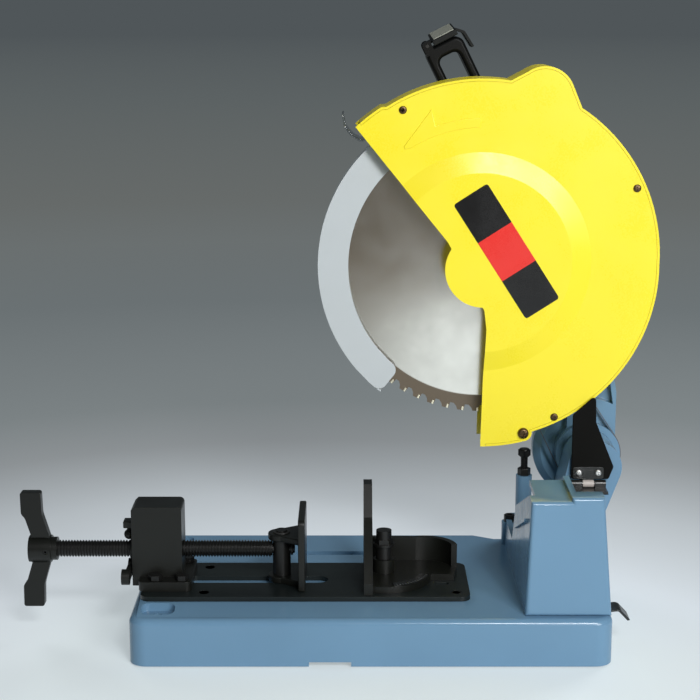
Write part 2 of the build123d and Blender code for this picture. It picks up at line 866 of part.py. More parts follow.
# Vise screw with a turned-down tip in the jaw post
jaw_face = fence_face - vise_opening
post_x = jaw_face - jaw_post_setback
tee_right = screw_end
tee_left = tee_right - tee_hub_length
tee_collar = 6
tee_pin_x = tee_right - tee_collar - 5
tee_pin_radius = 2.5
tip_left = post_x - jaw_post_radius - body_gap
with BuildPart() as vise_screw:
    rod(tee_left + 4, tip_left - tee_left - 4, vise_y, screw_z, screw_radius)
    rod(tip_left, 2 * jaw_post_radius + 2 * body_gap + 4, vise_y, screw_z, screw_tip_radius)
    chamfer(vise_screw.edges().group_by(Axis.X)[-1], 0.8)
    disc(vise_y - 2 * screw_radius, 4 * screw_radius, tee_pin_x, screw_z, tee_pin_radius + slip_fit,
         Mode.SUBTRACT)

vise_screw.part.label = "vise_screw"
export_step(vise_screw.part, "parts/vise_screw.step")

with BuildPart() as screw_clip:
    rod(post_x + jaw_post_radius + body_gap, 2, vise_y, screw_z, screw_tip_radius + 2)
    rod(post_x, 3 * jaw_post_radius, vise_y, screw_z, screw_tip_radius + slip_fit, Mode.SUBTRACT)

screw_clip.part.label = "screw_clip"
export_step(screw_clip.part, "parts/screw_clip.step")

# T-handle: collared hub with two swept arms that end in flat paddles
paddle_left = tee_left - tee_sweep
paddle_low = tee_reach - paddle_length
with BuildPart() as tee_handle:
    rod(tee_left, tee_hub_length - tee_collar, vise_y, screw_z, tee_hub_radius)
    rod(tee_right - tee_collar, tee_collar, vise_y, screw_z, tee_hub_radius - 2)
    for side in (1, -1):
        with BuildSketch(front_plane(vise_y + paddle_thickness / 2)):
            with BuildLine():
                Polyline(
                    (tee_left + 2, screw_z + side * 4),
                    (tee_left + 20, screw_z + side * 4),
                    (tee_left + 15, screw_z + side * (paddle_low - 6)),
                    (paddle_left + paddle_width + 4, screw_z + side * (paddle_low + 8)),
                    (paddle_left + paddle_width, screw_z + side * tee_reach),
                    (paddle_left, screw_z + side * tee_reach),
                    (paddle_left + 2, screw_z + side * (paddle_low + 4)),
                    (tee_left + 3, screw_z + side * (paddle_low - 6)),
                    close=True,
                )
            make_face()
        extrude(amount=paddle_thickness)
    fillet(tee_handle.edges().filter_by(Axis.Y), 2.5)
    rod(tee_left + 4, tee_hub_length, vise_y, screw_z, screw_radius + slip_fit, Mode.SUBTRACT)
    disc(vise_y - 2 * tee_hub_radius, 4 * tee_hub_radius, tee_pin_x, screw_z,
         tee_pin_radius + slip_fit, Mode.SUBTRACT)

tee_handle.part.label = "tee_handle"
export_step(tee_handle.part, "parts/tee_handle.step")

with BuildPart() as tee_pin:
    disc(vise_y - tee_hub_radius, 2 * tee_hub_radius, tee_pin_x, screw_z, tee_pin_radius)

tee_pin.part.label = "tee_pin"
export_step(tee_pin.part, "parts/tee_pin.step")

# Jaw post: upright swivel pin with journals above and below and a cross bore for the screw
jaw_low = bed_top + slide_gap
jaw_top_plate = screw_z + 11
with BuildPart() as jaw_post:
    post(jaw_low + jaw_plate + slide_gap, jaw_top_plate - jaw_low - jaw_plate - 2 * slide_gap, post_x,
         vise_y, jaw_post_radius)
    post(jaw_low, jaw_top_plate + jaw_plate + 3 - jaw_low, post_x, vise_y, jaw_pivot_radius)
    rod(post_x - 2 * jaw_post_radius, 4 * jaw_post_radius, vise_y, screw_z, screw_tip_radius + running_fit,
        Mode.SUBTRACT)

jaw_post.part.label = "jaw_post"
export_step(jaw_post.part, "parts/jaw_post.step")

# Vise jaw: upright face plate with two triangular plates welded behind it
with BuildPart() as vise_jaw:
    block(jaw_face - jaw_thickness, jaw_face, vise_y - jaw_width / 2, vise_y + jaw_width / 2,
          jaw_low, jaw_low + jaw_height)
    fillet(vise_jaw.edges().filter_by(Axis.X).group_by(Axis.Z)[-1], 6)
    for z in (jaw_low, jaw_top_plate):
        with BuildSketch(Plane.XY.offset(z)):
            with Locations((post_x, vise_y)):
                Circle(jaw_nose_radius)
            with BuildLine():
                Polyline(
                    (post_x, vise_y - jaw_nose_radius),
                    (jaw_face - 1, vise_y - jaw_width / 2 + 9),
                    (jaw_face - 1, vise_y + jaw_width / 2 - 9),
                    (post_x, vise_y + jaw_nose_radius),
                    close=True,
                )
            make_face()
            with Locations((post_x, vise_y)):
                Circle(jaw_pivot_radius + running_fit, mode=Mode.SUBTRACT)
        extrude(amount=jaw_plate)

vise_jaw.part.label = "vise_jaw"
export_step(vise_jaw.part, "parts/vise_jaw.step")

# Fence: upright with a sloped front, quadrant floor, clamp boss and curved rim wall
fence_low = bed_top + slide_gap
fence_back = fence_face + fence_thickness
rim_x = fence_pivot_x + fence_rim_reach
with BuildPart() as fence:
    with BuildSketch(Plane.YZ.offset(fence_face)):
        with BuildLine():
            Polyline(
                (bed_front + 4, fence_low),
                (bed_front + 4, fence_low + fence_low_height),
                (vise_y - 6, fence_low + fence_height * 0.62),
                (vise_y + 10, fence_low + fence_height * 0.68),
                (bed_back - 22, fence_low + fence_height),
                (bed_back - 4, fence_low + fence_height),
                (bed_back - 4, fence_low),
                close=True,
            )
        make_face()
    extrude(amount=fence_thickness)
    with BuildSketch(Plane.XY.offset(fence_low)):
        with Locations(fence_pivot):
            Circle(fence_quadrant)
        with BuildLine():
            Polyline((fence_face, bed_front - 60), (fence_face - 100, bed_front - 60),
                     (fence_face - 100, bed_back + 60), (fence_face, bed_back + 60), close=True)
        make_face(mode=Mode.SUBTRACT)
    extrude(amount=fence_floor)
    with BuildSketch(Plane.XY.offset(fence_low)):
        with BuildLine():
            rim_top = Line((fence_back - 1, bed_back - 4), (fence_pivot_x + 34, bed_back - 6))
            rim_bend = ThreePointArc(rim_top @ 1, (rim_x - 7, bed_back - 17), (rim_x, bed_back - 34))
            Polyline(rim_bend @ 1, (rim_x - 4, vise_y - 4), (fence_back - 1, vise_y - 4), rim_top @ 0)
        make_face()
    extrude(amount=fence_floor)
    with BuildSketch(Plane.XY.offset(fence_low)):
        with BuildLine():
            wall_top = Line((fence_back - 1, bed_back - 4), (fence_pivot_x + 34, bed_back - 6))
            wall_bend = ThreePointArc(wall_top @ 1, (rim_x - 7, bed_back - 17), (rim_x, bed_back - 34))
            wall_end = Line(wall_bend @ 1, (rim_x - fence_rim_thickness, bed_back - 34))
            wall_inner = ThreePointArc(
                wall_end @ 1,
                (rim_x - 7 - fence_rim_thickness * 0.75, bed_back - 17 - fence_rim_thickness * 0.75),
                (fence_pivot_x + 34, bed_back - 6 - fence_rim_thickness),
            )
            Polyline(wall_inner @ 1, (fence_back - 1, bed_back - 4 - fence_rim_thickness), wall_top @ 0)
        make_face()
    extrude(amount=fence_rim_height)
    post(fence_low, fence_floor + fence_boss_height, fence_pivot[0], fence_pivot[1], fence_boss_radius)
    post(fence_low - 1, fence_floor + fence_boss_height + 2, fence_pivot[0], fence_pivot[1],
         fence_pivot_radius + running_fit, Mode.SUBTRACT)

fence.part.label = "fence"
export_step(fence.part, "parts/fence.step")

# Fence pivot bolt: stud in the bed with a spacer, a flange nut and a cap on top
stack_low = fence_low + fence_floor + fence_boss_height + slide_gap
with BuildPart() as fence_bolt:
    post(deck_top - deck_hole_depth + 1, deck_hole_depth + bed_thickness + fence_stack_height,
         fence_pivot[0], fence_pivot[1], fence_pivot_radius)
    post(stack_low, 14, fence_pivot[0], fence_pivot[1], fence_pivot_radius + 2.2)
    post(stack_low + 14, 2.5, fence_pivot[0], fence_pivot[1], fence_pivot_radius + 5)
    hex_upright(stack_low + 16.5, 5, fence_pivot[0], fence_pivot[1], 2 * fence_pivot_radius + 5)
    post(stack_low + 21.5, 9, fence_pivot[0], fence_pivot[1], fence_pivot_radius + 2)

fence_bolt.part.label = "fence_bolt"
export_step(fence_bolt.part, "parts/fence_bolt.step")

# Chip drawer under the pedestal: open tray with a face plate and a bent pull strap
drawer_top = drawer_floor + drawer_height
tray_left = base_right - drawer_length
with BuildPart() as chip_drawer:
    block(tray_left, base_right - drawer_face, drawer_front + 1, drawer_back - 1, drawer_floor,
          drawer_top - 3)
    block(tray_left + drawer_sheet, base_right - drawer_face + 1, drawer_front + 1 + drawer_sheet,
          drawer_back - 1 - drawer_sheet, drawer_floor + drawer_sheet, drawer_top + 1, Mode.SUBTRACT)
    block(base_right - drawer_face, base_right, drawer_front + body_gap, drawer_back - body_gap,
          drawer_floor - body_gap, drawer_top)

chip_drawer.part.label = "chip_drawer"
export_step(chip_drawer.part, "parts/chip_drawer.step")

strap_y = drawer_front + 4
with BuildPart() as drawer_strap:
    with BuildSketch(front_plane(strap_y + strap_width)):
        with BuildLine():
            FilletPolyline(
                (base_right + strap_thickness / 2, drawer_floor + 6),
                (base_right + strap_thickness / 2, base_height + 2),
                (base_right + 12, base_height + 4),
                (base_right + 22, base_height - 15),
                radius=4,
            )
        trace(line_width=strap_thickness)
    extrude(amount=strap_width)

drawer_strap.part.label = "drawer_strap"
export_step(drawer_strap.part, "parts/drawer_strap.step")

# Chip flap in front of the pivot, on a small hinge with a fixed leaf
hinge_y = boss_front - flap_hinge_setback
hinge_z = ledge_top + flap_hinge_radius + flap_leaf_thickness
hinge_mid = ledge_left + flap_hinge_middle
hinge_left = hinge_mid - flap_hinge_length / 2
knuckle = flap_hinge_length / 3
with BuildPart() as flap_leaf:
    block(hinge_left, hinge_left + flap_hinge_length, hinge_y - flap_leaf_depth, hinge_y + 2,
          ledge_top, ledge_top + flap_leaf_thickness)
    for side in (-1, 1):
        x0 = hinge_mid + side * knuckle - knuckle / 2 + body_gap
        rod(x0, knuckle - 2 * body_gap, hinge_y, hinge_z, flap_hinge_radius)
        block(x0, x0 + knuckle - 2 * body_gap, hinge_y - flap_hinge_radius, hinge_y, ledge_top, hinge_z)
    rod(hinge_left - 1, flap_hinge_length + 2, hinge_y, hinge_z, flap_pin_radius + slip_fit, Mode.SUBTRACT)

flap_leaf.part.label = "flap_leaf"
export_step(flap_leaf.part, "parts/flap_leaf.step")

with BuildPart() as flap_pin:
    rod(hinge_left, flap_hinge_length, hinge_y, hinge_z, flap_pin_radius)

flap_pin.part.label = "flap_pin"
export_step(flap_pin.part, "parts/flap_pin.step")

flap_y = hinge_y + flap_hinge_radius - flap_thickness
flap_low = hinge_z + flap_hinge_radius + body_gap
with BuildPart() as chip_flap:
    with BuildSketch(front_plane(flap_y + flap_thickness)):
        with BuildLine():
            FilletPolyline(
                (ledge_left + flap_inset, flap_low),
                (ledge_left + flap_inset, pivot_z + flap_left_height),
                (ledge_left + flap_peak, pivot_z + flap_peak_height),
                (ledge_left + flap_waist, pivot_z + flap_waist_height),
                (ledge_left + flap_shoulder, pivot_z + flap_shoulder_height),
                (ledge_left + flap_foot, flap_low),
                radius=flap_corner,
                close=True,
            )
        make_face()
    extrude(amount=flap_thickness)
    rod(hinge_mid - knuckle / 2 + body_gap, knuckle - 2 * body_gap, hinge_y, hinge_z, flap_hinge_radius)
    block(hinge_mid - knuckle / 2 + body_gap, hinge_mid + knuckle / 2 - body_gap, flap_y,
          flap_y + flap_thickness, hinge_z, flap_low + 4)
    rod(hinge_left, flap_hinge_length, hinge_y, hinge_z, flap_pin_radius + running_fit, Mode.SUBTRACT)

chip_flap.part.label = "chip_flap"
export_step(chip_flap.part, "parts/chip_flap.step")

# Arm casting: pivot hub with its drum, curved neck with pockets, gear case, and the boss of the lower guard
hub_bore = pivot_shaft_radius + running_fit + bush_wall + slip_fit
hub_sleeve = hub_bore + 2.5
spring_pocket = spring_radius + spring_wire / 2 + 3
arm_boss_radius = sleeve_radius - sleeve_wall - running_fit
arm_boss_front = blade_y + 15
needle_radius = spindle_radius + running_fit + needle_wall
spring_steps = 4 * spring_turns + 2
spring_depth = spring_steps / 4 * spring_pitch + spring_wire + 3
standoffs = [polar(arbor_x, arbor_z, standoff_circle, angle) for angle in (40, 120, 200)]
outer_neck = [polar(pivot_x, pivot_z, arm_hub_radius, 10),
              (pivot_x + neck_outer_bulge, pivot_z + neck_outer_height),
              (arbor_x + neck_case_offset, arbor_z + neck_case_height)]
inner_neck = [polar(arbor_x, arbor_z, case_radius, -45),
              (pivot_x - neck_inner_setback, pivot_z + neck_inner_height),
              polar(pivot_x, pivot_z, arm_hub_radius, 130)]
hub_plane = Plane(origin=(pivot_x, 0, pivot_z), x_dir=(1, 0, 0), z_dir=(0, 0, 1))
hub_front = arm_front + hub_drum_front
hub_back = arm_back - hub_drum_back


def neck_face():
    """Face of the arm's neck between the hub and the gear case, in the current sketch."""
    with BuildLine() as border:
        outer = ThreePointArc(*outer_neck)
        inner = ThreePointArc(*inner_neck)
        Polyline(outer @ 1, (arbor_x, arbor_z), inner @ 0)
        Polyline(inner @ 1, (pivot_x, pivot_z), outer @ 0)
    make_face(border.edges())


with BuildPart() as arm:
    with BuildSketch(front_plane(arm_back)):
        neck_face()
        with Locations((pivot_x, pivot_z)):
            Circle(arm_hub_radius)
        with Locations((arbor_x, arbor_z)):
            Circle(case_radius)
        with Locations((motor_x, motor_z)):
            Circle(motor_boss_radius)
        with BuildLine():
            Polyline(
                raised(stop_x - 9, stop_top + body_gap),
                raised(stop_x + 9, stop_top + body_gap),
                raised(stop_x + 14, stop_top + 28),
                raised(stop_x - 14, stop_top + 28),
                close=True,
            )
        make_face()
    extrude(amount=arm_thickness)
    with BuildSketch(hub_plane):
        with BuildLine():
            Polyline((0, hub_front), (hub_drum_radius - hub_drum_chamfer, hub_front),
                     (hub_drum_radius, hub_front + hub_drum_chamfer), (hub_drum_radius, hub_back),
                     (0, hub_back), close=True)
        make_face()
    revolve(axis=Axis((pivot_x, 0, pivot_z), (0, 1, 0)))
    for pocket_y in (arm_front + arm_pocket, arm_back):
        with BuildSketch(front_plane(pocket_y)):
            neck_face()
            offset(amount=-arm_rim)
            with Locations((pivot_x, pivot_z)):
                Circle(hub_drum_radius + arm_pocket_gap, mode=Mode.SUBTRACT)
            with Locations((arbor_x, arbor_z)):
                Circle(case_radius + arm_pocket_gap, mode=Mode.SUBTRACT)
        extrude(amount=arm_pocket, mode=Mode.SUBTRACT)
    disc(arm_boss_front, arm_front - arm_boss_front + 1, arbor_x, arbor_z, arm_boss_radius)
    disc(arm_front + case_wall, arm_thickness, arbor_x, arbor_z, case_radius - 6, Mode.SUBTRACT)
    disc(arm_front + case_wall, arm_thickness, motor_x, motor_z, ball_bearing_radius + 4, Mode.SUBTRACT)
    disc(arm_boss_front - 1, arm_thickness + 30, arbor_x, arbor_z, needle_radius + slip_fit, Mode.SUBTRACT)
    disc(arm_front - 1, arm_thickness + 2, pivot_x, pivot_z, hub_bore, Mode.SUBTRACT)
    with BuildSketch(front_plane(arm_front + spring_depth)):
        with Locations((pivot_x, pivot_z)):
            Circle(spring_pocket)
            Circle(hub_sleeve, mode=Mode.SUBTRACT)
    extrude(amount=spring_depth + 1, mode=Mode.SUBTRACT)
    disc(arm_front, arm_thickness - 1.5, pivot_x + spring_bend, pivot_z - spring_radius,
         spring_wire / 2 + body_gap, Mode.SUBTRACT)
    for x, z in standoffs:
        disc(guard_back, arm_front - guard_back + 1, x, z, standoff_radius)
        disc(guard_back - 1, 10, x, z, guard_screw_radius + slip_fit, Mode.SUBTRACT)

arm.part.label = "arm"
export_step(arm.part, "parts/arm.step")

# Two bronze bushes in the hub
bush_length = 12
with BuildPart() as pivot_bushes:
    for y in (arm_front, arm_back - bush_length):
        disc(y, bush_length, pivot_x, pivot_z, hub_bore - slip_fit)
        disc(y - 1, bush_length + 2, pivot_x, pivot_z, pivot_shaft_radius + running_fit, Mode.SUBTRACT)

pivot_bushes.part.label = "pivot_bushes"
export_step(pivot_bushes.part, "parts/pivot_bushes.step")

# Return spring: one coil round the hub's sleeve, with a straight leg at each end
spring_first = arm_front + spring_wire / 2 + 1


def spring_point(step):
    """Point on the coil after a number of quarter turns."""
    angle = radians(90 + 90 * step)
    y = spring_first + spring_pitch * step / 4
    return Vector(pivot_x + spring_radius * cos(angle), y, pivot_z + spring_radius * sin(angle))


def spring_tangent(step):
    """Direction of the coil after a number of quarter turns."""
    angle = radians(90 + 90 * step)
    turn = spring_radius * pi / 2
    return Vector(-turn * sin(angle), spring_pitch / 4, turn * cos(angle)).normalized()


def biarc_middle(p0, t0, p1, t1):
    """Meeting point of two arcs that leave p0 along t0 and reach p1 along t1."""
    v = p1 - p0
    t = t0 + t1
    a = 2 * (1 - t0.dot(t1))
    b = 2 * v.dot(t)
    c = -v.dot(v)
    d = (-b + sqrt(b * b - 4 * a * c)) / (2 * a)
    return (p0 + p1 + (t0 - t1) * d) * 0.5


axial = Vector(0, 1, 0)
coil_start = spring_point(0)
coil_end = spring_point(spring_steps)
start_bend = coil_start + Vector(spring_bend, -spring_bend, 0)
end_bend = coil_end + Vector(spring_bend, spring_bend, 0)
start_leg = start_bend - axial * spring_leg
end_leg = end_bend + axial * spring_leg
turns = [(start_bend, axial, coil_start, spring_tangent(0))]
turns += [
    (spring_point(step), spring_tangent(step), spring_point(step + 1), spring_tangent(step + 1))
    for step in range(spring_steps)
]
turns += [(coil_end, spring_tangent(spring_steps), end_bend, axial)]

with BuildPart() as return_spring:
    with BuildLine() as coil:
        Line(start_leg, start_bend)
        for p0, t0, p1, t1 in turns:
            middle = biarc_middle(p0, t0, p1, t1)
            TangentArc(p0, middle, tangent=t0)
            TangentArc(middle, p1, tangent=t1 * -1, tangent_from_first=False)
        Line(end_bend, end_leg)
    with BuildSketch(Plane(origin=start_leg, z_dir=axial)):
        Circle(spring_wire / 2)
    sweep(path=coil.wires()[0])

return_spring.part.label = "return_spring"
export_step(return_spring.part, "parts/return_spring.step")
spring_gap = min(
    (spring_point(a / 8) - spring_point(b / 8)).length
    for a in range(8 * spring_steps) for b in range(a + 16, 8 * spring_steps)
) - spring_wire
print("return spring least gap to itself", round(spring_gap, 3))

# Gear cover: rear wall of the gear case, with the bearing seats, and the motor's seat
with BuildPart() as gear_cover:
    with BuildSketch(front_plane(cover_back)):
        with Locations((arbor_x, arbor_z)):
            Circle(case_radius)
        with Locations((motor_x, motor_z)):
            Circle(motor_flange_radius)
    extrude(amount=gear_cover_thickness)
    disc(arm_back - 1, gear_cover_thickness, arbor_x, arbor_z, 14 + slip_fit, Mode.SUBTRACT)
    disc(arm_back - 1, gear_cover_thickness + 2, motor_x, motor_z, ball_bearing_radius + slip_fit,
         Mode.SUBTRACT)

gear_cover.part.label = "gear_cover"
export_step(gear_cover.part, "parts/gear_cover.step")


def involute(radius, base):
    """Involute angle at a radius, in radians."""
    tilt = acos(min(1, base / radius))
    return tan(tilt) - tilt


def gear_outline(teeth, tip, root, first_angle):
    """Outline points of a spur gear with a tooth centred at the first angle, in degrees."""
    pitch = gear_module * teeth / 2
    base = pitch * cos(radians(pressure_angle))
    half = pi / (2 * teeth) - gear_backlash / (4 * pitch) + involute(pitch, base)
    start = max(base, root)
    radii = [root] + [start + (tip - start) * k / 3 for k in range(4)]
    points = []
    for tooth in range(teeth):
        middle = radians(first_angle) + 2 * pi * tooth / teeth
        rising = [(r, middle - half + involute(max(r, base), base)) for r in radii]
        falling = [(r, middle + half - involute(max(r, base), base)) for r in reversed(radii)]
        points += [(r * cos(a), r * sin(a)) for r, a in rising + falling]
    return points


# Driven gear on the spindle
gear_front = arm_front + case_wall + 4
gear_pitch = gear_module * gear_teeth / 2
gear_tip = gear_pitch + gear_addendum
gear_root = gear_pitch - 1.24 * gear_module
pinion_pitch = gear_module * pinion_teeth / 2
pinion_tip = pinion_pitch + gear_module
pinion_root = centre_distance - gear_tip - 0.6
gear_first = motor_angle + 180 / gear_teeth
with BuildPart() as driven_gear:
    with BuildSketch(front_plane(gear_front + gear_width)):
        with Locations((arbor_x, arbor_z)):
            Polygon(*gear_outline(gear_teeth, gear_tip, gear_root, gear_first), align=None)
            Circle(spindle_radius + slip_fit, mode=Mode.SUBTRACT)
    extrude(amount=gear_width)

driven_gear.part.label = "driven_gear"
export_step(driven_gear.part, "parts/driven_gear.step")

# Arbor spindle, its bearings, flanges and bolt
spindle_front = blade_y - 2
spindle_back = arm_back + 7 - body_gap
with BuildPart() as spindle:
    disc(spindle_front, arm_back - body_gap - spindle_front, arbor_x, arbor_z, spindle_radius)
    disc(arm_back - body_gap - 1, spindle_back - arm_back + body_gap + 1, arbor_x, arbor_z,
         spindle_tail_radius)
    disc(spindle_front - 1, 24, arbor_x, arbor_z, arbor_bolt_radius + slip_fit, Mode.SUBTRACT)

spindle.part.label = "spindle"
export_step(spindle.part, "parts/spindle.step")

with BuildPart() as spindle_bearings:
    disc(arm_boss_front + 2, arm_front - arm_boss_front, arbor_x, arbor_z, needle_radius)
    disc(arm_boss_front + 1, arm_front - arm_boss_front + 2, arbor_x, arbor_z, spindle_radius + running_fit,
         Mode.SUBTRACT)
    disc(arm_back, 7, arbor_x, arbor_z, 14)
    disc(arm_back - 1, 9, arbor_x, arbor_z, spindle_tail_radius + running_fit, Mode.SUBTRACT)

spindle_bearings.part.label = "spindle_bearings"
export_step(spindle_bearings.part, "parts/spindle_bearings.step")

blade_back_face = blade_y + blade_thickness / 2
blade_front_face = blade_y - blade_thickness / 2
with BuildPart() as inner_flange:
    disc(blade_back_face, flange_thickness, arbor_x, arbor_z, flange_radius)
    disc(blade_back_face, arm_boss_front - body_gap - blade_back_face, arbor_x, arbor_z, spindle_radius + 4)
    disc(blade_front_face + 0.3, blade_thickness, arbor_x, arbor_z, blade_bore_radius - slip_fit)
    disc(blade_front_face - 1, 40, arbor_x, arbor_z, spindle_radius + slip_fit, Mode.SUBTRACT)

inner_flange.part.label = "inner_flange"
export_step(inner_flange.part, "parts/inner_flange.step")

outer_front = blade_front_face - flange_thickness
with BuildPart() as outer_flange:
    disc(outer_front, flange_thickness, arbor_x, arbor_z, flange_radius)
    chamfer(outer_flange.faces().sort_by(Axis.Y)[0].edges(), 2)
    disc(spindle_front - 0.3, 10, arbor_x, arbor_z, spindle_radius + slip_fit, Mode.SUBTRACT)
    disc(outer_front - 1, flange_thickness + 2, arbor_x, arbor_z, arbor_bolt_radius + slip_fit,
         Mode.SUBTRACT)

outer_flange.part.label = "outer_flange"
export_step(outer_flange.part, "parts/outer_flange.step")

with BuildPart() as arbor_bolt:
    disc(outer_front - arbor_washer, 25, arbor_x, arbor_z, arbor_bolt_radius)
    disc(outer_front - arbor_washer, arbor_washer, arbor_x, arbor_z, arbor_washer_radius)
    with BuildSketch(front_plane(outer_front - arbor_washer)):
        with Locations((arbor_x, arbor_z)):
            RegularPolygon(arbor_bolt_flats / 2, 6, major_radius=False)
    extrude(amount=arbor_bolt_head)

arbor_bolt.part.label = "arbor_bolt"
export_step(arbor_bolt.part, "parts/arbor_bolt.step")

# Blade: disc with gullets, and a carbide tip seated in a notch at the front of each tooth.
# The blade turns anticlockwise seen from the front, so each tip faces that way.
body_radius = blade_radius - 0.4
gullet = [
    polar(0, 0, body_radius + 2, 0),
    polar(0, 0, body_radius - tooth_depth, 0.4),
    polar(0, 0, body_radius - tooth_depth, 1.8),
    polar(0, 0, body_radius - tooth_depth * 0.55, 3.0),
    polar(0, 0, body_radius + 2, 3.9),
]
tip_seat = tip_length / blade_radius * 180 / pi
tip_outline = [
    polar(0, 0, blade_radius, 0),
    polar(0, 0, blade_radius - tip_height, 0),
    polar(0, 0, blade_radius - tip_height, -tip_seat),
    polar(0, 0, blade_radius - 0.5, -tip_seat),
]
with BuildPart() as blade:
    with BuildSketch(front_plane(blade_back_face)):
        with Locations((arbor_x, arbor_z)):
            Circle(body_radius)
            Circle(blade_bore_radius, mode=Mode.SUBTRACT)
        with Locations((arbor_x, arbor_z)):
            with PolarLocations(0, blade_teeth):
                Polygon(*gullet, align=None, mode=Mode.SUBTRACT)
                Polygon(*tip_outline, align=None, mode=Mode.SUBTRACT)
    extrude(amount=blade_thickness)

blade.part.label = "blade"
export_step(blade.part, "parts/blade.step")

with BuildPart() as blade_tips:
    with BuildSketch(front_plane(blade_y + tip_width / 2)):
        with Locations((arbor_x, arbor_z)):
            with PolarLocations(0, blade_teeth):
                Polygon(*tip_outline, align=None)
    extrude(amount=tip_width)

blade_tips.part.label = "blade_tips"
export_step(blade_tips.part, "parts/blade_tips.step")

# Armature: shaft with pinion, core and commutator, and its fan
core_front = cover_back + 27
commutator_front = core_front + armature_length + 15
with BuildPart() as armature:
    disc(gear_front - 1, motor_back + 9 - gear_front, motor_x, motor_z, armature_shaft_radius)
    with BuildSketch(front_plane(gear_front + gear_width)):
        with Locations((motor_x, motor_z)):
            Polygon(*gear_outline(pinion_teeth, pinion_tip, pinion_root, motor_angle + 180), align=None)
    extrude(amount=gear_width)
    disc(core_front, armature_length, motor_x, motor_z, armature_radius)
    disc(commutator_front, commutator_length, motor_x, motor_z, commutator_radius)

armature.part.label = "armature"
export_step(armature.part, "parts/armature.step")

fan_front = cover_back + 6
fan_blades = 9
with BuildPart() as motor_fan:
    disc(fan_front, 2.5, motor_x, motor_z, fan_radius)
    disc(fan_front, fan_width, motor_x, motor_z, armature_shaft_radius + 6)
    with BuildSketch(front_plane(fan_front + fan_width)):
        with Locations((motor_x, motor_z)):
            with PolarLocations((fan_radius + armature_shaft_radius + 5) / 2, fan_blades):
                Rectangle(fan_radius - armature_shaft_radius - 5, 2)
    extrude(amount=fan_width - 1)
    disc(fan_front - 1, fan_width + 2, motor_x, motor_z, armature_shaft_radius + slip_fit, Mode.SUBTRACT)

motor_fan.part.label = "motor_fan"
export_step(motor_fan.part, "parts/motor_fan.step")

with BuildPart() as motor_bearings:
    for y, outer in ((arm_back, ball_bearing_radius), (motor_back, ball_bearing_radius - 5)):
        disc(y, ball_bearing_width, motor_x, motor_z, outer)
        disc(y - 1, ball_bearing_width + 2, motor_x, motor_z, armature_shaft_radius + running_fit,
             Mode.SUBTRACT)

motor_bearings.part.label = "motor_bearings"
export_step(motor_bearings.part, "parts/motor_bearings.step")

stator_inner = armature_radius + stator_gap
with BuildPart() as stator:
    with BuildSketch(front_plane(core_front + armature_length + 2)):
        with Locations((motor_x, motor_z)):
            Circle(stator_inner + stator_wall)
            Circle(stator_inner, mode=Mode.SUBTRACT)
    extrude(amount=armature_length + 4)

stator.part.label = "stator"
export_step(stator.part, "parts/stator.step")

# Motor housing: barrel with a screwed flange, inner ledges for the stator and side vents
brush_y = commutator_front + commutator_length / 2
with BuildPart() as motor_housing:
    disc(cover_back, motor_length, motor_x, motor_z, motor_radius)
    disc(cover_back, 8, motor_x, motor_z, motor_flange_radius)
    fillet(motor_housing.edges().filter_by(GeomType.CIRCLE).group_by(Axis.Y)[1], 3)
    disc(cover_back - 1, motor_length + 2, motor_x, motor_z, motor_radius - motor_wall, Mode.SUBTRACT)
    with BuildSketch(front_plane(core_front + armature_length)):
        with Locations((motor_x, motor_z)):
            Circle(motor_radius - motor_wall + 1)
            Circle(stator_inner + stator_wall + slip_fit, mode=Mode.SUBTRACT)
    extrude(amount=armature_length)
    for side in (1, -1):
        rod(motor_x + side * (motor_radius - 4) - 9, 18, brush_y, motor_z, brush_cap_radius - 2 + slip_fit,
            Mode.SUBTRACT)
    with BuildSketch(front_plane(cover_back + 24)):
        with Locations((motor_x, motor_z)):
            with PolarLocations(motor_radius - 2, 5, start_angle=205, angular_range=130):
                Rectangle(14, 7)
    extrude(amount=14, mode=Mode.SUBTRACT)

motor_housing.part.label = "motor_housing"
export_step(motor_housing.part, "parts/motor_housing.step")

with BuildPart() as brush_caps:
    for side in (1, -1):
        rod(motor_x + side * (motor_radius - 2) - 7, 14, brush_y, motor_z, brush_cap_radius - 2)
        rod(motor_x + side * (motor_radius + brush_cap_rise / 2) - brush_cap_rise / 2, brush_cap_rise,
            brush_y, motor_z, brush_cap_radius)

brush_caps.part.label = "brush_caps"
export_step(brush_caps.part, "parts/brush_caps.step")

# End cap with air slots and the inlet's hole
inlet_y = motor_back + end_cap_length / 2
with BuildPart() as end_cap:
    disc(motor_back, end_cap_length, motor_x, motor_z, motor_radius)
    fillet(end_cap.faces().sort_by(Axis.Y)[-1].edges(), 9)
    disc(motor_back - 1, end_cap_length - 4, motor_x, motor_z, motor_radius - motor_wall, Mode.SUBTRACT)
    disc(motor_back, end_cap_length - 4, motor_x, motor_z, ball_bearing_radius)
    disc(motor_back - 1, ball_bearing_width + 2, motor_x, motor_z, ball_bearing_radius - 5 + slip_fit,
         Mode.SUBTRACT)
    with BuildSketch(front_plane(saw_back + 1)):
        with Locations((motor_x, motor_z)):
            with PolarLocations(28, 12):
                SlotOverall(16, 5)
    extrude(amount=10, mode=Mode.SUBTRACT)
    post(motor_z - motor_radius - 1, 8, motor_x, inlet_y, inlet_radius - 2 + slip_fit, Mode.SUBTRACT)

end_cap.part.label = "end_cap"
export_step(end_cap.part, "parts/end_cap.step")

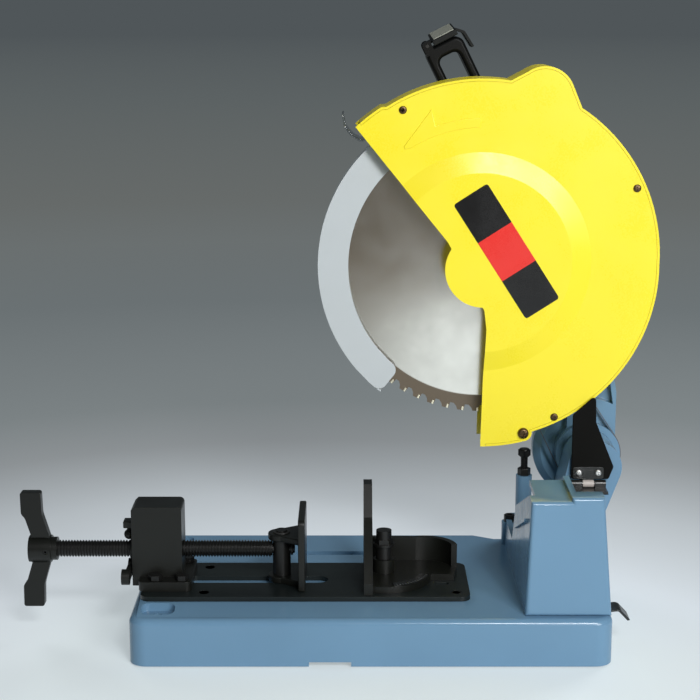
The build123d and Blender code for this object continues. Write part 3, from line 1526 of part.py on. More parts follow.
with BuildPart() as cable_inlet:
    post(motor_z - motor_radius - inlet_length, inlet_length + 4, motor_x, inlet_y, inlet_radius)
    disc(motor_back - 1, end_cap_length + 2, motor_x, motor_z, motor_radius + slip_fit, Mode.SUBTRACT)
    post(motor_z - motor_radius - 4, 10, motor_x, inlet_y, inlet_radius - 2)
    post(motor_z - motor_radius - inlet_length - 1, inlet_length + 8, motor_x, inlet_y, inlet_radius / 2,
         Mode.SUBTRACT)

cable_inlet.part.label = "cable_inlet"
export_step(cable_inlet.part, "parts/cable_inlet.step")

# Loop handle in two halves, leaning back over the motor, screwed to its housing
lean = radians(handle_lean)
handle_x = motor_x + handle_base_x
handle_z = motor_z + motor_radius - 4
hinge_w = lever_ear + 1 - handle_width / 2
hinge_u = handle_length + lever_travel_gap + lever_thickness - lever_bead
lever_top = handle_length + lever_travel_gap + lever_thickness / 2
ear_depth = 4


def handle_plane(y):
    """Plane across the handle at depth y: local x over its width, local y up its length."""
    return Plane(origin=(handle_x, y, handle_z), x_dir=(cos(lean), 0, sin(lean)), z_dir=(0, -1, 0))


def handle_half(back, outer):
    """One half of the handle in the current part, from its back plane forwards, rounded on one side."""
    hole_end = handle_length - handle_bar
    with BuildSketch(handle_plane(back)) as loop:
        with Locations((0, handle_length / 2)):
            RectangleRounded(handle_width, handle_length, 10)
        with Locations((0, 0)):
            RectangleRounded(handle_foot_width, 2 * handle_foot_height, 8)
        with Locations((0, (handle_hole_start + hole_end) / 2)):
            RectangleRounded(handle_width - 2 * handle_rail, hole_end - handle_hole_start, 7,
                             mode=Mode.SUBTRACT)
    extrude(loop.sketch, amount=handle_depth / 2)
    open_face = faces().sort_by(Axis.Y)[outer]
    fillet(open_face.edges(), handle_edge)


def lever_seat(ear_back):
    """Ear, groove and pin hole for the lever in the current part."""
    with BuildSketch(handle_plane(ear_back)) as ear:
        with Locations((hinge_w, hinge_u)):
            Circle(lever_ear)
        with Locations((hinge_w, hinge_u - lever_ear)):
            Rectangle(2 * lever_ear, 2 * lever_ear)
    extrude(ear.sketch, amount=ear_depth)
    with BuildSketch(handle_plane(handle_mid_y + handle_depth / 2 - ear_depth)) as groove:
        with Locations((hinge_w, hinge_u)):
            Circle(lever_bead + body_gap)
    extrude(groove.sketch, amount=handle_depth - 2 * ear_depth, mode=Mode.SUBTRACT)
    with BuildSketch(handle_plane(handle_mid_y + handle_depth)) as pin_hole:
        with Locations((hinge_w, hinge_u)):
            Circle(lever_pin_radius + slip_fit)
    extrude(pin_hole.sketch, amount=2 * handle_depth, mode=Mode.SUBTRACT)
    disc(cover_back, motor_length, motor_x, motor_z, motor_radius + slip_fit, Mode.SUBTRACT)


with BuildPart() as handle_front:
    handle_half(handle_mid_y, 0)
    lever_seat(handle_mid_y - handle_depth / 2 + ear_depth)

handle_front.part.label = "handle_front"
export_step(handle_front.part, "parts/handle_front.step")

with BuildPart() as handle_rear:
    handle_half(handle_mid_y + handle_depth / 2, -1)
    lever_seat(handle_mid_y + handle_depth / 2)

handle_rear.part.label = "handle_rear"
export_step(handle_rear.part, "parts/handle_rear.step")

# Switch lever over the handle's top bar, on a pin between the ears
lever_back = handle_mid_y + handle_depth / 2 - ear_depth - body_gap
with BuildPart() as switch_lever:
    with BuildSketch(handle_plane(lever_back)):
        with BuildLine():
            FilletPolyline(
                (hinge_w, lever_top),
                (handle_width / 2 - 2, lever_top),
                (handle_width / 2 + lever_lip - 2, lever_top - lever_lip),
                (handle_width / 2 + lever_lip, lever_top - lever_lip_drop),
                radius=3,
            )
        trace(line_width=lever_thickness)
        with Locations((hinge_w, hinge_u)):
            Circle(lever_bead)
            Circle(lever_pin_radius + running_fit, mode=Mode.SUBTRACT)
    extrude(amount=handle_depth - 2 * ear_depth - 2 * body_gap)

switch_lever.part.label = "switch_lever"
export_step(switch_lever.part, "parts/switch_lever.step")

with BuildPart() as lever_pin:
    with BuildSketch(handle_plane(handle_mid_y + handle_depth / 2)):
        with Locations((hinge_w, hinge_u)):
            Circle(lever_pin_radius)
    extrude(amount=handle_depth)

lever_pin.part.label = "lever_pin"
export_step(lever_pin.part, "parts/lever_pin.step")

# Yellow guard: outline with a bump on top, an open side for the blade and a lobe round the arbor
guard_tip = polar(arbor_x, arbor_z, guard_tip_radius, 132.2)
guard_tip_top = polar(arbor_x, arbor_z, guard_tip_radius, 122.6)
guard_kink = polar(arbor_x, arbor_z, guard_tip_radius - kink_inset, kink_angle)
guard_corner = polar(arbor_x, arbor_z, hub_lobe_radius + 6.7, 142.7)
opening_side = [
    guard_tip,
    guard_corner,
    (arbor_x + 1.5, arbor_z - hub_lobe_radius - 3.5),
    (arbor_x + 4, arbor_z - hub_lobe_radius - 23.8),
    (arbor_x + 1.7, arbor_z - disc_outer_radius - 0.5),
    (arbor_x - 0.2, arbor_z - guard_foot_radius - 0.5),
]
cover_posts = [
    polar(arbor_x, arbor_z, ring_outer_radius + guard_post_radius + 7.5, 117.3),
    polar(arbor_x, arbor_z, ring_outer_radius + guard_post_radius + 1.2, 28.1),
    polar(arbor_x, arbor_z, ring_outer_radius + guard_post_radius - 0.2, -63.9),
]
cover_bolt_at = polar(arbor_x, arbor_z, guard_foot_radius - cover_bolt_inset, cover_bolt_angle)
bump_at = polar(guard_x, guard_z, guard_radius - bump_inset, bump_angle)
guard_foot_end = polar(arbor_x, arbor_z, guard_foot_radius, -76.6)


def open_region(growth=0):
    """Face of the region left open for the blade, grown by a width."""
    reach = 2 * guard_radius
    with BuildSketch() as region:
        with BuildLine():
            Polyline(*opening_side, (arbor_x - 0.2, arbor_z - reach), (arbor_x - reach, arbor_z - reach),
                     (arbor_x - reach, guard_tip[1] + 60), (guard_tip[0] - 12, guard_tip[1] + 15),
                     close=True)
        make_face()
        with Locations((arbor_x, arbor_z)):
            Circle(hub_lobe_radius, mode=Mode.SUBTRACT)
        if growth:
            offset(amount=growth)
    return region.sketch


def guard_outline():
    """Face of the whole outline of the guard, drawn in X and Z."""
    with BuildSketch() as outline:
        with Locations((guard_x, guard_z)):
            Circle(guard_radius)
        with BuildLine():
            Polyline(polar(guard_x, guard_z, guard_radius - 4, 83.2), (bump_at[0] - 11, bump_at[1] + 29),
                     (bump_at[0] + 11, bump_at[1] + 29), (bump_at[0] + 28.5, bump_at[1] + 12.3),
                     polar(guard_x, guard_z, guard_radius - 4, 55.2), (guard_x, guard_z), close=True)
        make_face()
        with Locations(bump_at):
            Circle(bump_radius)
        with Locations((arbor_x, arbor_z)):
            Circle(guard_low_radius)
        with BuildLine():
            ThreePointArc(guard_tip, polar(arbor_x, arbor_z, guard_tip_radius, 127.5), guard_tip_top)
            Polyline(guard_tip_top, guard_kink, (guard_x, guard_z), guard_corner, guard_tip)
        make_face()
        with BuildLine():
            foot_start = polar(arbor_x, arbor_z, guard_foot_radius, -90)
            ThreePointArc(foot_start, polar(arbor_x, arbor_z, guard_foot_radius, -83), guard_foot_end)
            Polyline(guard_foot_end, cover_bolt_at, (arbor_x, arbor_z), foot_start)
        make_face()
        with Locations(cover_bolt_at):
            Circle(cover_bolt_inset)
        add(open_region(), mode=Mode.SUBTRACT)
    return outline.sketch


def guard_inside(gap):
    """Face of the guard inside its rim, held back by a gap, with no rim along the open side."""
    with BuildSketch() as inside:
        add(guard_outline())
        offset(amount=-guard_rim - gap)
        with BuildSketch(mode=Mode.PRIVATE) as strip:
            add(guard_outline())
            add(open_region(open_edge - gap), mode=Mode.INTERSECT)
        add(strip.sketch)
    return inside.sketch


# Guard shell: back wall and rim with screw posts, fixed to the arm's standoffs
cover_back_face = guard_front + guard_sheet
with BuildPart() as guard_shell:
    with BuildSketch(front_plane(guard_back)):
        add(guard_outline())
    extrude(amount=guard_depth)
    with BuildSketch(front_plane(guard_back - guard_sheet)):
        add(guard_inside(0))
    extrude(amount=guard_depth, mode=Mode.SUBTRACT)
    for x, z in cover_posts + [cover_bolt_at]:
        disc(cover_back_face, guard_back - cover_back_face, x, z, guard_post_radius)
    for x, z in cover_posts + [cover_bolt_at]:
        disc(cover_back_face - 1, cover_screw_length + 2, x, z, cover_screw_radius + slip_fit,
             Mode.SUBTRACT)
    disc(guard_back - guard_sheet - 1, guard_sheet + 2, arbor_x, arbor_z, sleeve_radius + 1.5,
         Mode.SUBTRACT)
    for x, z in standoffs:
        disc(guard_back - guard_sheet - 1, guard_sheet + 2, x, z, guard_screw_radius + slip_fit,
             Mode.SUBTRACT)

guard_shell.part.label = "guard_shell"
export_step(guard_shell.part, "parts/guard_shell.step")

with BuildPart() as guard_screws:
    for x, z in standoffs:
        disc(guard_back - guard_sheet, guard_sheet + 8, x, z, guard_screw_radius)
        disc(guard_back - guard_sheet - 2.5, 2.5, x, z, guard_screw_radius + 2)

guard_screws.part.label = "guard_screws"
export_step(guard_screws.part, "parts/guard_screws.step")

# Guard cover: flat sheet inside the rim with a pressed, raised disc
disc_x = guard_x
disc_z = arbor_z + disc_shift_z
disc_axis = Axis((disc_x, 0, disc_z), (0, 1, 0))
disc_plane = Plane(origin=(disc_x, 0, disc_z), x_dir=(1, 0, 0), z_dir=(0, 0, 1))
with BuildPart() as pressed_disc:
    with BuildSketch(disc_plane):
        with BuildLine():
            Polyline((0, guard_front + guard_sheet), (disc_outer_radius, guard_front + guard_sheet),
                     (disc_outer_radius, guard_front), (disc_inner_radius, guard_front - disc_rise),
                     (0, guard_front - disc_rise), close=True)
        make_face()
    revolve(axis=disc_axis)
    with BuildSketch(front_plane(guard_back)):
        add(guard_inside(cover_gap))
    extrude(amount=2 * guard_depth, mode=Mode.INTERSECT)

with BuildPart() as guard_cover:
    with BuildSketch(front_plane(cover_back_face)):
        add(guard_inside(cover_gap))
    extrude(amount=guard_sheet)
    add(pressed_disc.part)
    with BuildSketch(disc_plane):
        with BuildLine():
            Polyline((0, guard_front + guard_sheet + 1), (disc_outer_radius, guard_front + guard_sheet + 1),
                     (disc_outer_radius, guard_front + guard_sheet),
                     (disc_inner_radius, guard_front + guard_sheet - disc_rise),
                     (0, guard_front + guard_sheet - disc_rise), close=True)
        make_face()
    revolve(axis=disc_axis, mode=Mode.SUBTRACT)
    for x, z in cover_posts + [cover_bolt_at]:
        disc(guard_front - 1, guard_sheet + 2, x, z, cover_screw_radius + slip_fit, Mode.SUBTRACT)

guard_cover.part.label = "guard_cover"
export_step(guard_cover.part, "parts/guard_cover.step")

with BuildPart() as cover_screws:
    disc(guard_front - cover_bolt_rise, cover_bolt_rise, cover_bolt_at[0], cover_bolt_at[1],
         cover_bolt_head)
    fillet(cover_screws.faces().sort_by(Axis.Y)[0].edges(), cover_bolt_rise / 2)
    for x, z in cover_posts:
        disc(guard_front - cover_screw_rise, cover_screw_rise, x, z, cover_screw_radius + 2)
    for x, z in cover_posts + [cover_bolt_at]:
        disc(guard_front - 1, cover_screw_length + 1, x, z, cover_screw_radius)

cover_screws.part.label = "cover_screws"
export_step(cover_screws.part, "parts/cover_screws.step")

# Clear chip shield across the guard's tip, with its inner end against the back wall
with BuildPart() as chip_shield:
    with BuildSketch(front_plane(guard_back - guard_sheet)):
        with BuildLine():
            FilletPolyline(
                (guard_tip[0] + 22, guard_tip[1] - 5.5),
                (guard_tip[0] + 6, guard_tip[1] - 15),
                (guard_tip[0] - 3.5, guard_tip[1] - 9.5),
                (guard_tip[0] - 10.5, guard_tip[1] - 1),
                (guard_tip[0] - 13, guard_tip[1] + 13),
                radius=5,
            )
        trace(line_width=2)
    extrude(amount=guard_depth - 2 * guard_sheet - 2)

chip_shield.part.label = "chip_shield"
export_step(chip_shield.part, "parts/chip_shield.step")

# Lower guard: front ring, rim and rear sector on one sleeve round the arm's boss
ring_front = blade_y - ring_front_gap - ring_sheet
plate_front = blade_back_face + ring_back_gap
plate_back = plate_front + ring_sheet
ring_inner_radius = ring_outer_radius - ring_width


def ring_sector(inner, outer):
    """Face between two radii over the lower guard's angles, drawn in X and Z."""
    with BuildSketch() as sector:
        with BuildLine():
            far = CenterArc((arbor_x, arbor_z), outer, ring_start, ring_end - ring_start)
            if inner:
                near = CenterArc((arbor_x, arbor_z), inner, ring_start, ring_end - ring_start)
                Line(far @ 0, near @ 0)
                Line(far @ 1, near @ 1)
            else:
                Polyline(far @ 1, (arbor_x, arbor_z), far @ 0)
        make_face()
    return sector.sketch


with BuildPart() as lower_guard:
    with BuildSketch(front_plane(ring_front + ring_sheet)):
        add(ring_sector(ring_inner_radius, ring_outer_radius))
        fillet(vertices().sort_by(Axis.Y)[0:2], ring_corner)
    extrude(amount=ring_sheet)
    with BuildSketch(front_plane(plate_back)):
        add(ring_sector(ring_outer_radius - ring_sheet, ring_outer_radius))
    extrude(amount=plate_back - ring_front - ring_corner / 8)
    with BuildSketch(front_plane(plate_back)):
        add(ring_sector(0, ring_outer_radius))
        with Locations((arbor_x, arbor_z)):
            Circle(sleeve_radius + 6)
    extrude(amount=ring_sheet)
    disc(plate_front, band_back - plate_front, arbor_x, arbor_z, sleeve_radius)
    disc(plate_front - 1, band_back - plate_front + 2, arbor_x, arbor_z, sleeve_radius - sleeve_wall,
         Mode.SUBTRACT)

lower_guard.part.label = "lower_guard"
export_step(lower_guard.part, "parts/lower_guard.step")

# Flat band round the fixed drum and the lower guard's sleeve
band_slack = 0.05


def band_face(growth):
    """Face round both drums, grown by a width, drawn in X and Z."""
    near = sleeve_radius + growth
    far = drum_radius + growth
    span = hypot(pivot_x - arbor_x, pivot_z - arbor_z)
    aim = degrees(atan2(pivot_z - arbor_z, pivot_x - arbor_x))
    turn = degrees(acos((near - far) / span))
    with BuildSketch() as loop:
        with Locations((arbor_x, arbor_z)):
            Circle(near)
        with Locations((pivot_x, pivot_z)):
            Circle(far)
        with BuildLine():
            Polyline(polar(arbor_x, arbor_z, near, aim + turn), polar(pivot_x, pivot_z, far, aim + turn),
                     polar(pivot_x, pivot_z, far, aim - turn), polar(arbor_x, arbor_z, near, aim - turn),
                     close=True)
        make_face()
    return loop.sketch


with BuildPart() as guard_band:
    with BuildSketch(front_plane(band_back - 1)):
        add(band_face(band_slack + band_thickness))
        add(band_face(band_slack), mode=Mode.SUBTRACT)
    extrude(amount=band_width - 2)

guard_band.part.label = "guard_band"
export_step(guard_band.part, "parts/guard_band.step")
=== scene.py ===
import json
from math import atan2, cos, pi, radians, sin

import bmesh
import bpy
from mathutils import Matrix, Vector


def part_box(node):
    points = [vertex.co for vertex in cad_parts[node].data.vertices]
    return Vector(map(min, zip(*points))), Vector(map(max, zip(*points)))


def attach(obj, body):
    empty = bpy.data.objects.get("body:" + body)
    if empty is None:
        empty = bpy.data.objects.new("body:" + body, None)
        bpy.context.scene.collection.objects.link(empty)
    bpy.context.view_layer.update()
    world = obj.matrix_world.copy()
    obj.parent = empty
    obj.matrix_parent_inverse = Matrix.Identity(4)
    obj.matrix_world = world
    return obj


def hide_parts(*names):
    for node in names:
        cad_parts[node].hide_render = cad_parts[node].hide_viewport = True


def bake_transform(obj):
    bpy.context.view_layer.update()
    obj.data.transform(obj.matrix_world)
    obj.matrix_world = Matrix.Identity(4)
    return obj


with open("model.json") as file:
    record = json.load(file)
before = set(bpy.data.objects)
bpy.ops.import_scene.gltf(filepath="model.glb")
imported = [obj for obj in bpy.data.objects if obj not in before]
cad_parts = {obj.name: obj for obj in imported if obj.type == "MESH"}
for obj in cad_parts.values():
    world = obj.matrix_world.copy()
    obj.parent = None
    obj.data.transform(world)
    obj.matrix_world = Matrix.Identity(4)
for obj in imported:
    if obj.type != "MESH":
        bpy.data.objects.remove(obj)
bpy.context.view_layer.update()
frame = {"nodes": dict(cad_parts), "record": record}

# Base casting: a hollow box of cast aluminium with a raised deck for the vise, fettled
# at its edges and sprayed with satin blue enamel. Everything else is bolted to it.
base_blue = (105, 141, 169)
body_of_node = {
    node: body
    for body, nodes in frame["record"]["behaviour"]["bodies"].items()
    for node in nodes
}


def shade(red, green, blue):
    """Colour of a finish, from its 0 to 255 screen values, as a shader socket takes it."""
    values = [value / 255 for value in (red, green, blue)]
    return tuple(v / 12.92 if v <= 0.04045 else ((v + 0.055) / 1.055) ** 2.4 for v in values) + (1.0,)


def add_node(tree, kind, inputs=None, **settings):
    """New shader node with its settings, and its inputs: each a value, or a socket to link."""
    node = tree.nodes.new(kind)
    for name, value in settings.items():
        setattr(node, name, value)
    for name, value in (inputs or {}).items():
        if isinstance(value, bpy.types.NodeSocket):
            tree.links.new(value, node.inputs[name])
        else:
            node.inputs[name].default_value = value
    return node


def new_group(name, inputs, outputs):
    """Empty shader group with named sockets, and its input and output nodes."""
    group = bpy.data.node_groups.new(name, "ShaderNodeTree")
    for way, sockets in (("INPUT", inputs), ("OUTPUT", outputs)):
        for socket, kind in sockets.items():
            group.interface.new_socket(name=socket, in_out=way, socket_type="NodeSocket" + kind)
    return group, group.nodes.new("NodeGroupInput").outputs, group.nodes.new("NodeGroupOutput").inputs


def link_all(tree, inputs, **sockets):
    """Sockets linked to a node's inputs by their names."""
    for name, socket in sockets.items():
        tree.links.new(socket, inputs[name.replace("_", " ")])


def math(tree, operation, a, b=0.0):
    """Result socket of a sum, product or other step on two values."""
    return add_node(tree, "ShaderNodeMath", {0: a, 1: b}, operation=operation).outputs[0]


def remap(tree, value, span, to):
    """Result socket of a value carried from one span to another, held at its ends."""
    inputs = {"Value": value, "From Min": span[0], "From Max": span[1], "To Min": to[0], "To Max": to[1]}
    return add_node(tree, "ShaderNodeMapRange", inputs).outputs["Result"]


def blend_colours(tree, factor, a, b, mode="MIX"):
    """Result socket of two colours mixed."""
    mix = add_node(tree, "ShaderNodeMix", {0: factor, 6: a, 7: b}, data_type="RGBA", blend_type=mode)
    return mix.outputs[2]


def object_place(tree):
    """Socket of a surface point's place on the object."""
    return tree.nodes.new("ShaderNodeTexCoord").outputs["Object"]


def noise(tree, vector, scale, detail=2.0):
    """Value socket of a noise pattern."""
    inputs = {"Vector": vector, "Scale": scale, "Detail": detail}
    return add_node(tree, "ShaderNodeTexNoise", inputs).outputs[0]


# Skin of a painted or moulded surface: slow mottling, handling smears and a fine grain.
noise_core = (0.3, 0.7)
coat_skin, skin_in, skin_out = new_group(
    "coat_skin",
    {"Colour": "Color", "Gloss": "Float", "Grain": "Float", "Mottle": "Float"},
    {"Colour": "Color", "Roughness": "Float", "Height": "Float"},
)
tree = coat_skin
place = object_place(tree)
clouds = remap(tree, noise(tree, place, scale=9.0, detail=4.0), noise_core, (-1.0, 1.0))
mottle = math(tree, "ADD", math(tree, "MULTIPLY", clouds, skin_in["Mottle"]), 1.0)
mottled = blend_colours(tree, 1.0, skin_in["Colour"], mottle, "MULTIPLY")
grain = noise(tree, place, scale=skin_in["Grain"])
speckle = remap(tree, grain, noise_core, (-0.04, 0.04))
smear = remap(tree, noise(tree, place, scale=21.0, detail=3.0), (0.35, 0.65), (-0.04, 0.06))
gloss = math(tree, "ADD", skin_in["Gloss"], math(tree, "ADD", speckle, smear))
link_all(tree, skin_out, Colour=mottled, Roughness=gloss, Height=grain)


def new_material(name):
    """Empty material with its node tree and its shader."""
    material = bpy.data.materials.new(name)
    material.use_nodes = True
    return material, material.node_tree, material.node_tree.nodes["Principled BSDF"]


def dress(tree, shader, skin, bump, depth):
    """Colour, roughness and relief of a skin group put on a shader."""
    relief = {"Height": skin.outputs["Height"], "Strength": bump, "Distance": depth}
    normal = add_node(tree, "ShaderNodeBump", relief).outputs["Normal"]
    link_all(tree, shader.inputs, Base_Color=skin.outputs["Colour"], Roughness=skin.outputs["Roughness"],
             Normal=normal)


def coated(name, colour, gloss, bump, grain=1500.0, mottle=0.035, shine=0.5):
    """Painted or moulded finish: the coat skin with its colour, gloss, grain per metre and relief."""
    material, tree, shader = new_material(name)
    shader.inputs["Specular IOR Level"].default_value = shine
    values = {"Colour": shade(*colour), "Gloss": gloss, "Grain": grain, "Mottle": mottle}
    skin = add_node(tree, "ShaderNodeGroup", values, node_tree=coat_skin, name="skin")
    dress(tree, shader, skin, bump, depth=0.0003)
    return material


def shape_of(node):
    """Mesh of a CAD piece with its corners joined and its flat faces whole."""
    shape = bmesh.new()
    shape.from_mesh(frame["nodes"][node].data)
    bmesh.ops.remove_doubles(shape, verts=shape.verts, dist=0.00002)
    bmesh.ops.dissolve_limit(shape, angle_limit=radians(0.4), verts=shape.verts, edges=shape.edges)
    return shape


def creases(shape, low, high=180):
    """Edges of a mesh where two faces meet at an angle between two values in degrees."""
    joined = [edge for edge in shape.edges if len(edge.link_faces) == 2]
    return [edge for edge in joined if radians(low) < edge.calc_face_angle() <= radians(high)]


def bevelled(shape, geom, width, segments, affect="EDGES"):
    """A mesh with some edges or corners made round."""
    bmesh.ops.bevel(shape, geom=geom, offset=width, offset_type="OFFSET", segments=segments, profile=0.5,
                    affect=affect, clamp_overlap=True, material=-1)
    return shape


def rounded(shape, width, segments=2, low=32, high=180):
    """A mesh with its creases made round."""
    return bevelled(shape, creases(shape, low, high), width, segments) if width else shape


def piece(name, shape, material, body, slot, *nodes):
    """Finished piece: smooth between hard edges, on its body if any, in place of CAD nodes."""
    mesh = bpy.data.meshes.new(name)
    shape.to_mesh(mesh)
    shape.free()
    mesh.polygons.foreach_set("use_smooth", [True] * len(mesh.polygons))
    mesh.set_sharp_from_angle(angle=radians(48))
    mesh.materials.append(material)
    made = bpy.data.objects.new(name, mesh)
    bpy.context.scene.collection.objects.link(made)
    made.modifiers.new("even_normals", "WEIGHTED_NORMAL").keep_sharp = True
    if body:
        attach(made, body)
    if nodes:
        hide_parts(*nodes)
    return made


def finished(node, material, slot, edge, segments=2):
    """A CAD piece in its finish, with its edges made round."""
    shape = rounded(shape_of(node), edge, segments)
    return piece(node + "_finished", shape, material, body_of_node[node], slot, node)


blue_paint = coated("blue_paint", base_blue, gloss=0.17, grain=700.0, bump=0.03, shine=0.4)
finished("base_casting", blue_paint, "blue_paint", edge=0.0016, segments=3)

# Rubber feet: four moulded pucks of black rubber under the corners of the base, pushed
# onto posts of the casting.
rubber = coated("foot_rubber", (33, 33, 34), gloss=0.75, bump=0.3)
finished("rubber_feet", rubber, "rubber", edge=0.0006)

# Pedestal: a cast aluminium tower with the chip hood, the tub and the pivot wall, in the
# same blue enamel. Four black socket screws hold it down on the base.
socket_share = 0.52
socket_depth = 0.004
socket_head_height = 0.008
shank_share = 0.61
finished("pedestal", blue_paint, "blue_paint", edge=0.0013, segments=3)
black_oxide = coated("black_oxide", (21, 21, 20), gloss=0.34, grain=1800.0, bump=0.08, shine=0.4)

TO_FRONT = Matrix.Rotation(pi / 2, 4, "X")
TO_BACK = Matrix.Rotation(-pi / 2, 4, "X")
TO_RIGHT = Matrix.Rotation(pi / 2, 4, "Y")
TO_LEFT = Matrix.Rotation(-pi / 2, 4, "Y")


def at(x, y, z, turn=None):
    """Place of a bit of mesh, with the way its own Z axis points."""
    return Matrix.Translation((x, y, z)) @ (turn or Matrix.Identity(4))


def solids_of(node):
    """Lowest, highest and middle point of each separate solid of a CAD node."""
    shape = shape_of(node)
    left = set(shape.verts)
    boxes = []
    while left:
        found = [left.pop()]
        for vert in found:
            near = {edge.other_vert(vert) for edge in vert.link_edges} & left
            left -= near
            found.extend(near)
        spans = list(zip(*(vert.co for vert in found)))
        low = Vector([min(span) for span in spans])
        high = Vector([max(span) for span in spans])
        boxes.append((low, high, (low + high) / 2))
    shape.free()
    return sorted(boxes, key=lambda box: tuple(box[0]))


def placed(part, place):
    """A bit of mesh moved to its place."""
    bmesh.ops.transform(part, matrix=place, verts=part.verts)
    return part


def join(shape, part, place=Matrix.Identity(4)):
    """A bit of mesh added to a shape at a place."""
    bit = bpy.data.meshes.new("bit")
    placed(part, place).to_mesh(bit)
    part.free()
    shape.from_mesh(bit)
    bpy.data.meshes.remove(bit)
    return shape


def turned(profile, steps=40, ring=False):
    """Bit turned about Z from (radius, height) corners: a closed ring, or solid from axis to axis."""
    part = bmesh.new()
    corners = [part.verts.new((radius, 0, height)) for radius, height in profile]
    pairs = list(zip(corners, corners[1:])) + ([(corners[-1], corners[0])] if ring else [])
    lines = [part.edges.new(pair) for pair in pairs]
    bmesh.ops.spin(part, geom=corners + lines, cent=(0, 0, 0), axis=(0, 0, 1), dvec=(0, 0, 0),
                   angle=2 * pi, steps=steps, use_merge=True)
    bmesh.ops.remove_doubles(part, verts=part.verts, dist=0.000001)
    bmesh.ops.recalc_face_normals(part, faces=part.faces)
    return part


def bar(radius, length, chamfer=0.0004):
    """Round bar about Z from 0 to a length, with chamfered ends."""
    return turned([(0, 0), (radius - chamfer, 0), (radius, chamfer), (radius, length - chamfer),
                   (radius - chamfer, length), (0, length)])


def loop_edges(corners):
    """Edges of a closed loop of corners."""
    ring = set(corners)
    return list({edge for vert in ring for edge in vert.link_edges if edge.other_vert(vert) in ring})


def hexagon(reach):
    """Outline of a hexagon recess."""
    return [(reach * cos(k * pi / 3), reach * sin(k * pi / 3)) for k in range(6)]


def screw_head(radius, rise, recess, depth, crown=0.3, taper=0.75):
    """Screw head on Z = 0, with a rounded crown and a driver recess sunk into its top."""
    part = bmesh.new()
    floor = [part.verts.new((x * taper, y * taper, rise - depth)) for x, y in recess]
    mouth = [part.verts.new((x, y, rise)) for x, y in recess]
    part.faces.new(floor)
    for pair in zip(mouth, mouth[1:] + mouth[:1]):
        part.edges.new(pair)
    bmesh.ops.bridge_loops(part, edges=loop_edges(floor) + loop_edges(mouth))
    inner = mouth
    for share, height in ((0.72, 1.0), (0.9, 1.0 - crown * 0.35), (1.0, 1.0 - crown), (1.0, 0.0)):
        outer = bmesh.ops.create_circle(part, segments=36, radius=radius * share)["verts"]
        bmesh.ops.translate(part, vec=(0, 0, rise * height), verts=outer)
        bmesh.ops.bridge_loops(part, edges=loop_edges(inner) + loop_edges(outer))
        inner = outer
    bmesh.ops.edgeloop_fill(part, edges=loop_edges(inner))
    bmesh.ops.recalc_face_normals(part, faces=part.faces)
    return part


pedestal_screws = bmesh.new()
for low, high, middle in solids_of("pedestal_bolts"):
    head_radius = (high.x - low.x) / 2
    seat = high.z - socket_head_height
    head = screw_head(head_radius, socket_head_height, hexagon(head_radius * socket_share), socket_depth,
                      crown=0.1, taper=1.0)
    join(pedestal_screws, head, at(middle.x, middle.y, seat))
    join(pedestal_screws, bar(head_radius * shank_share, seat - low.z), at(middle.x, middle.y, low.z))
piece("pedestal_screws", pedestal_screws, black_oxide, "base", "black_paint", "pedestal_bolts")

# Depth stop: a threaded steel screw with a knurled head, black oxide finished, that sets how
# far the head comes down. A lock nut holds it on the stop post of the pedestal.
stop_head = 0.009
stop_rim = 0.0014
knurl_teeth = 28
knurl_depth = 0.07


def box_of(node):
    """Lowest, highest and middle point of a CAD node."""
    low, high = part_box(node)
    return low, high, (low + high) / 2


def cut_off(shape, point, way):
    """A mesh cut off past a plane: the edges of its open rim."""
    everything = shape.verts[:] + shape.edges[:] + shape.faces[:]
    cut = bmesh.ops.bisect_plane(shape, geom=everything, plane_co=point, plane_no=way, clear_outer=True)
    return [edge for edge in cut["geom_cut"] if isinstance(edge, bmesh.types.BMEdge)]


def threaded(length, radius, pitch, depth, steps=24, land=0.3):
    """Threaded bar about Z from 0 to a length: one tooth wound up, cut square at both ends."""
    part = bmesh.new()
    root = radius - depth
    flank = pitch * (1 - 2 * land) / 2
    profile = ((0, root), (pitch * land, root), (pitch * land + flank, radius),
               (2 * pitch * land + flank, radius), (pitch, root))
    corners = [part.verts.new((reach, 0, height - 2 * pitch)) for height, reach in profile]
    lines = [part.edges.new(pair) for pair in zip(corners, corners[1:])]
    turns = int(length / pitch) + 4
    bmesh.ops.spin(part, geom=corners + lines, cent=(0, 0, 0), axis=(0, 0, 1), dvec=(0, 0, pitch / steps),
                   angle=2 * pi * turns, steps=steps * turns)
    bmesh.ops.remove_doubles(part, verts=part.verts, dist=0.00001)
    for height, side in ((0, -1), (length, 1)):
        bmesh.ops.edgeloop_fill(part, edges=cut_off(part, (0, 0, height), (0, 0, side)))
    bmesh.ops.recalc_face_normals(part, faces=part.faces)
    return part


def knurled(radius, height, teeth, depth):
    """Round head about Z from 0 to a height, with straight knurling round its side."""
    part = bmesh.new()
    bmesh.ops.create_cone(part, cap_ends=True, segments=2 * teeth, radius1=radius, radius2=radius,
                          depth=height, matrix=Matrix.Translation((0, 0, height / 2)))
    grooves = [vert for vert in part.verts if round(atan2(vert.co.y, vert.co.x) * teeth / pi) % 2]
    bmesh.ops.scale(part, vec=(1 - depth, 1 - depth, 1), verts=grooves)
    return part


